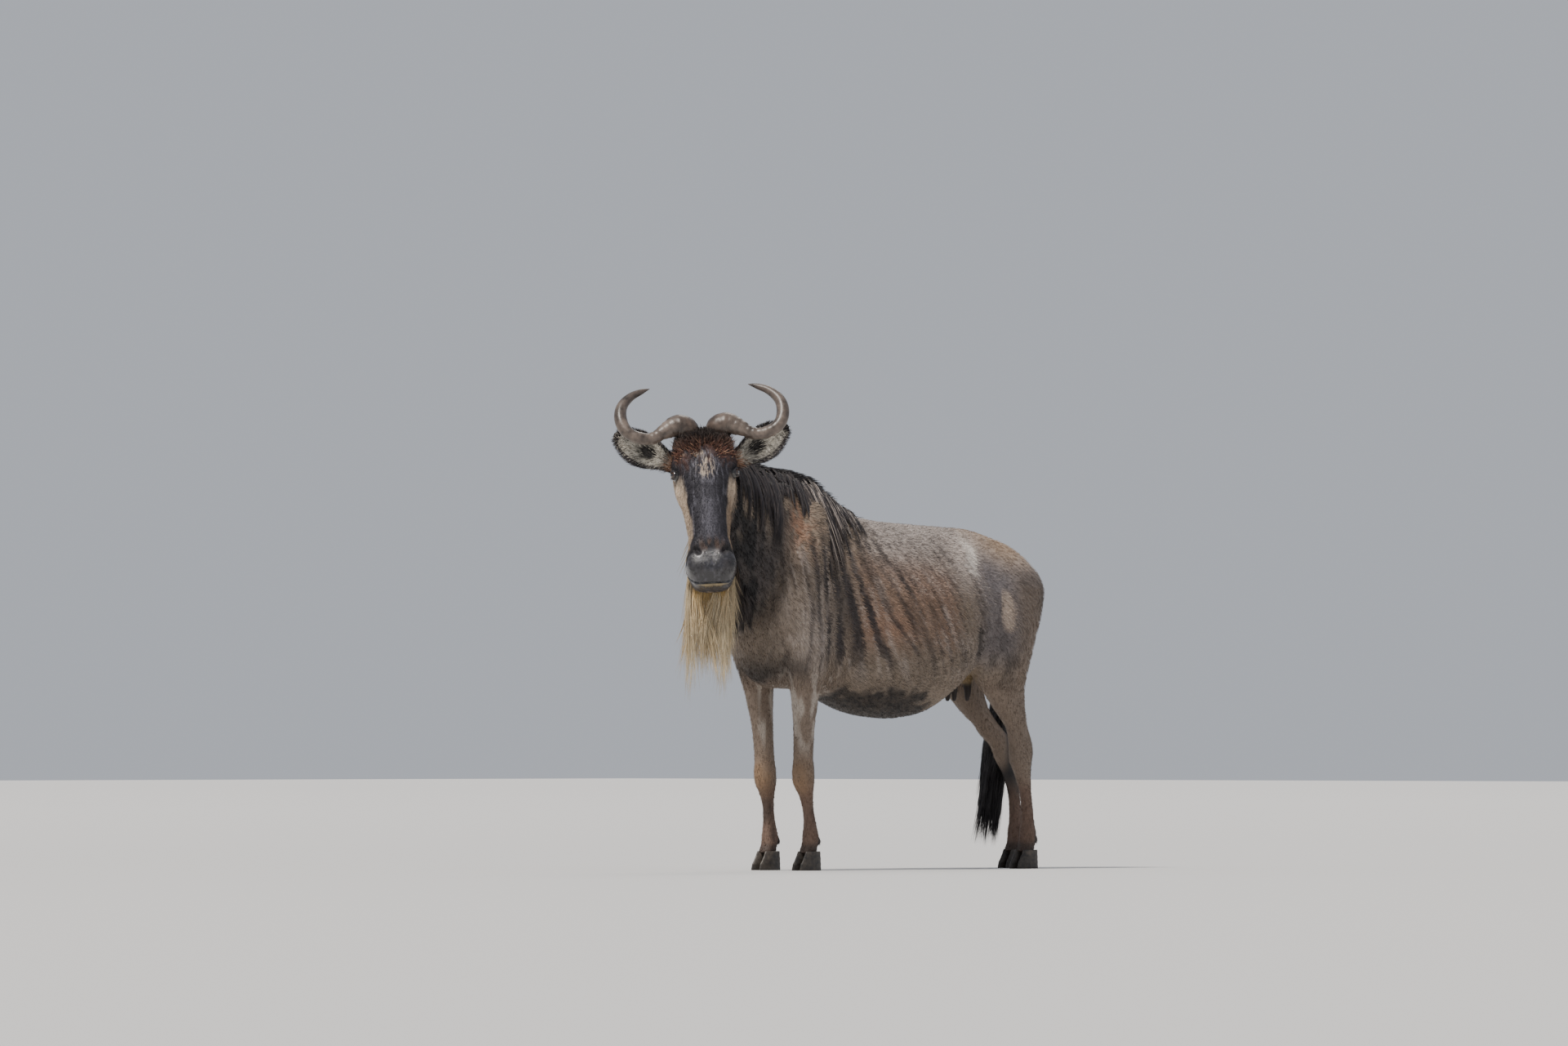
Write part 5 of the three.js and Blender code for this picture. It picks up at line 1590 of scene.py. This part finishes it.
class WILDEBEEST_OT_beard(bpy.types.Operator):
    """The pale beard under chin and jaw, and the darker hair of the throat"""
    bl_idname = "wildebeest.beard"
    bl_label = "Beard"

    def execute(self, context):
        length = context.scene.wildebeest_sizes.beard_length / MM
        material = coat_material("Beard hair")
        count, clumps = 4300, 110
        hair = Clumps(300, clumps, count)
        z = hair.shared(-456, -235) + hair.stray(5)
        spread = np.interp(z, [-460, -330, -280, -235], [58, 56, 34, 26])
        angle = 270 + hair.shared(-1, 1) * spread + hair.stray(3)
        roots, outs = sprout(lambda *place: from_head(head_point(*place)), z, angle, 4.0)
        long = length * np.interp(z, [-456, -390, -320, -235], [0.74, 1.0, 0.98, 0.62])
        long = long * hair.shared(0.6, 1.1) * hair.single(0.66, 1.06)
        push = hair.shared(10, 38)
        wander = (hair.draw.normal(0, 1, (clumps, 3)) * [22, 26, 0])[hair.of]
        wander = wander + hair.draw.normal(0, 8, (count, 3))
        paths = hanging_strands(roots, outs, long, push, wander, hair.draw)
        widths = 3.0 * hair.single(0.55, 1.3)
        golden = (1 - smooth(-452, -400, z))[:, None] * 0.8
        shaded = smooth(90, 150, into_head(roots)[:, 0])[:, None]
        base = setting("beard") * (1 - golden) + setting("beard_root") * golden
        base = base * (1 - 0.45 * shaded) * hair.draw.uniform(0.6, 1.12, (count, 1))
        tips = setting("beard") * hair.draw.uniform(0.7, 1.12, (count, 1)) * (1 - 0.25 * shaded)
        hair_object("beard_hair", paths, widths, 0.4, outs, base, tips, material)
        self.throat(material)
        return {"FINISHED"}

    def throat(self, material):
        """Darker, shorter hair under the neck."""
        count, clumps = 2000, 120
        hair = Clumps(310, clumps, count)
        station = hair.shared(1.5, 5.4) + hair.stray(0.05)
        angle = hair.shared(240, 300) + hair.stray(2)
        roots, outs = sprout(neck_point, station, angle, 5.0)
        long = hair.shared(90, 150) * hair.single(0.75, 1.05)
        long = long * np.interp(station, [2, 4.5], [0.5, 1.3])
        push = hair.shared(10, 26)
        wander = (hair.draw.normal(0, 1, (clumps, 3)) * [12, 12, 0])[hair.of]
        wander = wander + hair.draw.normal(0, 3, (count, 3))
        paths = hanging_strands(roots, outs, long, push, wander, hair.draw)
        widths = 3.0 * hair.single(0.6, 1.3)
        far = smooth(2.2, 3.6, station)[:, None]
        base = setting("neck") * (1 - far) + setting("knee") * 0.5 * far
        base = base * hair.draw.uniform(0.4, 1.3, (count, 1))
        hair_object("throat_hair", paths, widths, 0.4, outs, base * 0.8, base * 1.2, material)


class WILDEBEEST_OT_forelock(bpy.types.Operator):
    """The rough dark hair of the forehead, which climbs over the inner halves of the horn bosses"""
    bl_idname = "wildebeest.forelock"
    bl_label = "Forelock"

    def execute(self, context):
        draw = np.random.default_rng(500)
        count = 3400
        z = draw.uniform(-88, 18, count)
        angle = draw.uniform(28, 152, count)
        ragged = 15 * np.sin(np.radians(angle) * 9 + 1) + 12 * np.cos(np.radians(angle - 90) * 3)
        ragged = ragged + draw.normal(0, 7, count)
        z = np.interp(z, [-88, 18], [0, 1]) * (78 - ragged) - 60 + ragged
        roots, outs = sprout(head_point, z, angle, 4.0)
        aside = np.sign(roots[:, 1]) * 0.5 * smooth(6, 40, np.abs(roots[:, 1]))
        lie = np.stack([0 * z - 0.1, aside, 0.2 + 0.9 * smooth(-80, 0, z)], 1)
        lie = lie + draw.normal(0, 0.28, (count, 3))
        long = draw.uniform(16, 34, count) * np.interp(z, [-88, -40, -5, 18], [0.6, 0.9, 0.6, 0.42])
        share = np.linspace(0, 1, 5)[None, :, None]
        paths = (roots[:, None] + outs[:, None] * (share * (1.3 - 0.7 * share)) * long[:, None, None] * 0.75
                 + lie[:, None] * share ** 1.3 * long[:, None, None] * 0.8)
        red = smooth(-10, -70, z)[:, None] * (draw.random((count, 1)) < 0.75)
        colours = setting("shade") * (1 - red) + setting("forehead") * red * 1.3
        lighter = red * (draw.random((count, 1)) < 0.22)
        colours = (colours * (1 - lighter) + setting("rust") * lighter) * draw.uniform(0.45, 1.5, (count, 1))
        widths = 2.4 * draw.uniform(0.6, 1.3, count)
        hair_object("forelock", from_head(paths), widths, 0.4,
                    outs @ HEAD_SPIN.T, colours, colours * 1.3, coat_material("Long hair"))
        return {"FINISHED"}


class WILDEBEEST_OT_tail(bpy.types.Operator):
    """The long black hair of the tail"""
    bl_idname = "wildebeest.tail"
    bl_label = "Tail hair"

    def execute(self, context):
        count, clumps = 3600, 80
        dock = curve_through(DOCK, 100)
        hair = Clumps(400, clumps, count)
        at = (hair.shared(0.3, 0.99) * 99).astype(int)
        turn = hair.shared(0, 2 * math.pi) + hair.stray(0.25)
        outs = np.stack([np.cos(turn), np.sin(turn), 0 * turn], 1)
        roots = dock[at, :3] + outs * dock[at, 3:] * 0.7
        below = roots[:, 2] - TAIL_END
        long = np.minimum(below - hair.single(0, 60), hair.shared(300, 500))
        push = 26 * np.minimum(long / 250, 1) * hair.single(0.5, 1.3)
        wander = np.array([-26, 10, 0]) + hair.draw.normal(0, 9, (clumps, 3))[hair.of] * [1, 1, 0]
        wander[:, 1] += (185 - roots[:, 1]) * 0.55
        paths = hanging_strands(roots, outs, long, push, wander, hair.draw)
        widths = 3.2 * hair.single(0.6, 1.3)
        colours = setting("mane") * hair.draw.uniform(0.6, 2.0, (count, 1))
        hair_object("tail_hair", paths, widths, 0.4, outs, colours, colours * 1.25,
                    coat_material("Long hair"))
        return {"FINISHED"}


class WILDEBEEST_OT_stage(bpy.types.Operator):
    """Pale floor, soft studio light and a camera at the photo's angle"""
    bl_idname = "wildebeest.stage"
    bl_label = "Stage"

    def execute(self, context):
        scene = context.scene
        mesh = bpy.data.meshes.new("floor")
        corners = [(x * FLOOR_HALF, y * FLOOR_HALF, 0) for x, y in ((-1, -1), (1, -1), (1, 1), (-1, 1))]
        mesh.from_pydata(corners, [], [(0, 1, 2, 3)])
        floor = bpy.data.objects.new("floor", mesh)
        scene.collection.objects.link(floor)
        pale, tree, shader = new_material("Floor")
        cloud = node(tree, "ShaderNodeTexNoise", Scale=3.0, Detail=4.0)
        ramp = node(tree, "ShaderNodeValToRGB")
        for element, tint in zip(ramp.color_ramp.elements, FLOOR_TONES):
            element.color = tint
        join(cloud, "Fac", ramp, "Fac")
        join(ramp, "Color", shader, "Base Color")
        shader.inputs["Roughness"].default_value = 0.8
        mesh.materials.append(pale)
        world = bpy.data.worlds.new("Studio")
        scene.world = world
        world.use_nodes = True
        sky = world.node_tree.nodes["Background"]
        sky.inputs["Color"].default_value = SKY_COLOUR
        sky.inputs["Strength"].default_value = SKY_POWER
        for row in LIGHTS:
            self.light(*row)
        self.camera(scene)
        return {"FINISHED"}

    def light(self, name, place, spread, power, colour):
        data = bpy.data.lights.new(name, "SUN")
        data.angle = math.radians(spread)
        data.energy = power
        data.color = colour
        lamp = bpy.data.objects.new(name, data)
        lamp.location = place
        lamp.rotation_euler = (-Vector(place)).to_track_quat("-Z", "Y").to_euler()
        bpy.context.scene.collection.objects.link(lamp)

    def camera(self, scene):
        data = bpy.data.cameras.new("Camera")
        data.sensor_width = SENSOR
        data.sensor_fit = "HORIZONTAL"
        data.lens = SENSOR * VIEW_DISTANCE / VIEW_WIDTH
        data.clip_end = 200
        camera = bpy.data.objects.new("Camera", data)
        turn = math.radians(VIEW_AZIMUTH)
        target = Vector(VIEW_TARGET)
        away = Vector((math.sin(turn), -math.cos(turn), 0)) * VIEW_DISTANCE
        camera.location = (target.x + away.x, target.y + away.y, VIEW_HEIGHT)
        camera.rotation_euler = (target - camera.location).to_track_quat("-Z", "Y").to_euler()
        scene.collection.objects.link(camera)
        scene.camera = camera


class WILDEBEEST_PT_panel(bpy.types.Panel):
    """Everything that the model is made of, in order"""
    bl_idname = "WILDEBEEST_PT_panel"
    bl_label = "Wildebeest"
    bl_space_type = "VIEW_3D"
    bl_region_type = "UI"
    bl_category = "Wildebeest"

    def draw(self, context):
        for kind in PIECES:
            self.layout.operator(kind.bl_idname)
        for group in (context.scene.wildebeest_sizes, context.scene.wildebeest_colours):
            for key in group.__annotations__:
                self.layout.prop(group, key)


PIECES = (
    WILDEBEEST_OT_stage, WILDEBEEST_OT_skin, WILDEBEEST_OT_eyes, WILDEBEEST_OT_horns, WILDEBEEST_OT_ears,
    WILDEBEEST_OT_hooves, WILDEBEEST_OT_coat, WILDEBEEST_OT_forelock, WILDEBEEST_OT_mane, WILDEBEEST_OT_beard,
    WILDEBEEST_OT_tail,
)
SETTINGS = (WildebeestColours, WildebeestSizes)


def register():
    for kind in SETTINGS + PIECES + (WILDEBEEST_PT_panel,):
        bpy.utils.register_class(kind)
    bpy.types.Scene.wildebeest_colours = bpy.props.PointerProperty(type=WildebeestColours)
    bpy.types.Scene.wildebeest_sizes = bpy.props.PointerProperty(type=WildebeestSizes)


def unregister():
    del bpy.types.Scene.wildebeest_sizes
    del bpy.types.Scene.wildebeest_colours
    for kind in reversed(SETTINGS + PIECES + (WILDEBEEST_PT_panel,)):
        bpy.utils.unregister_class(kind)


def main():
    register()
    for kind in PIECES:
        area, name = kind.bl_idname.split(".")
        getattr(getattr(bpy.ops, area), name)()


if __name__ == "__main__":
    main()
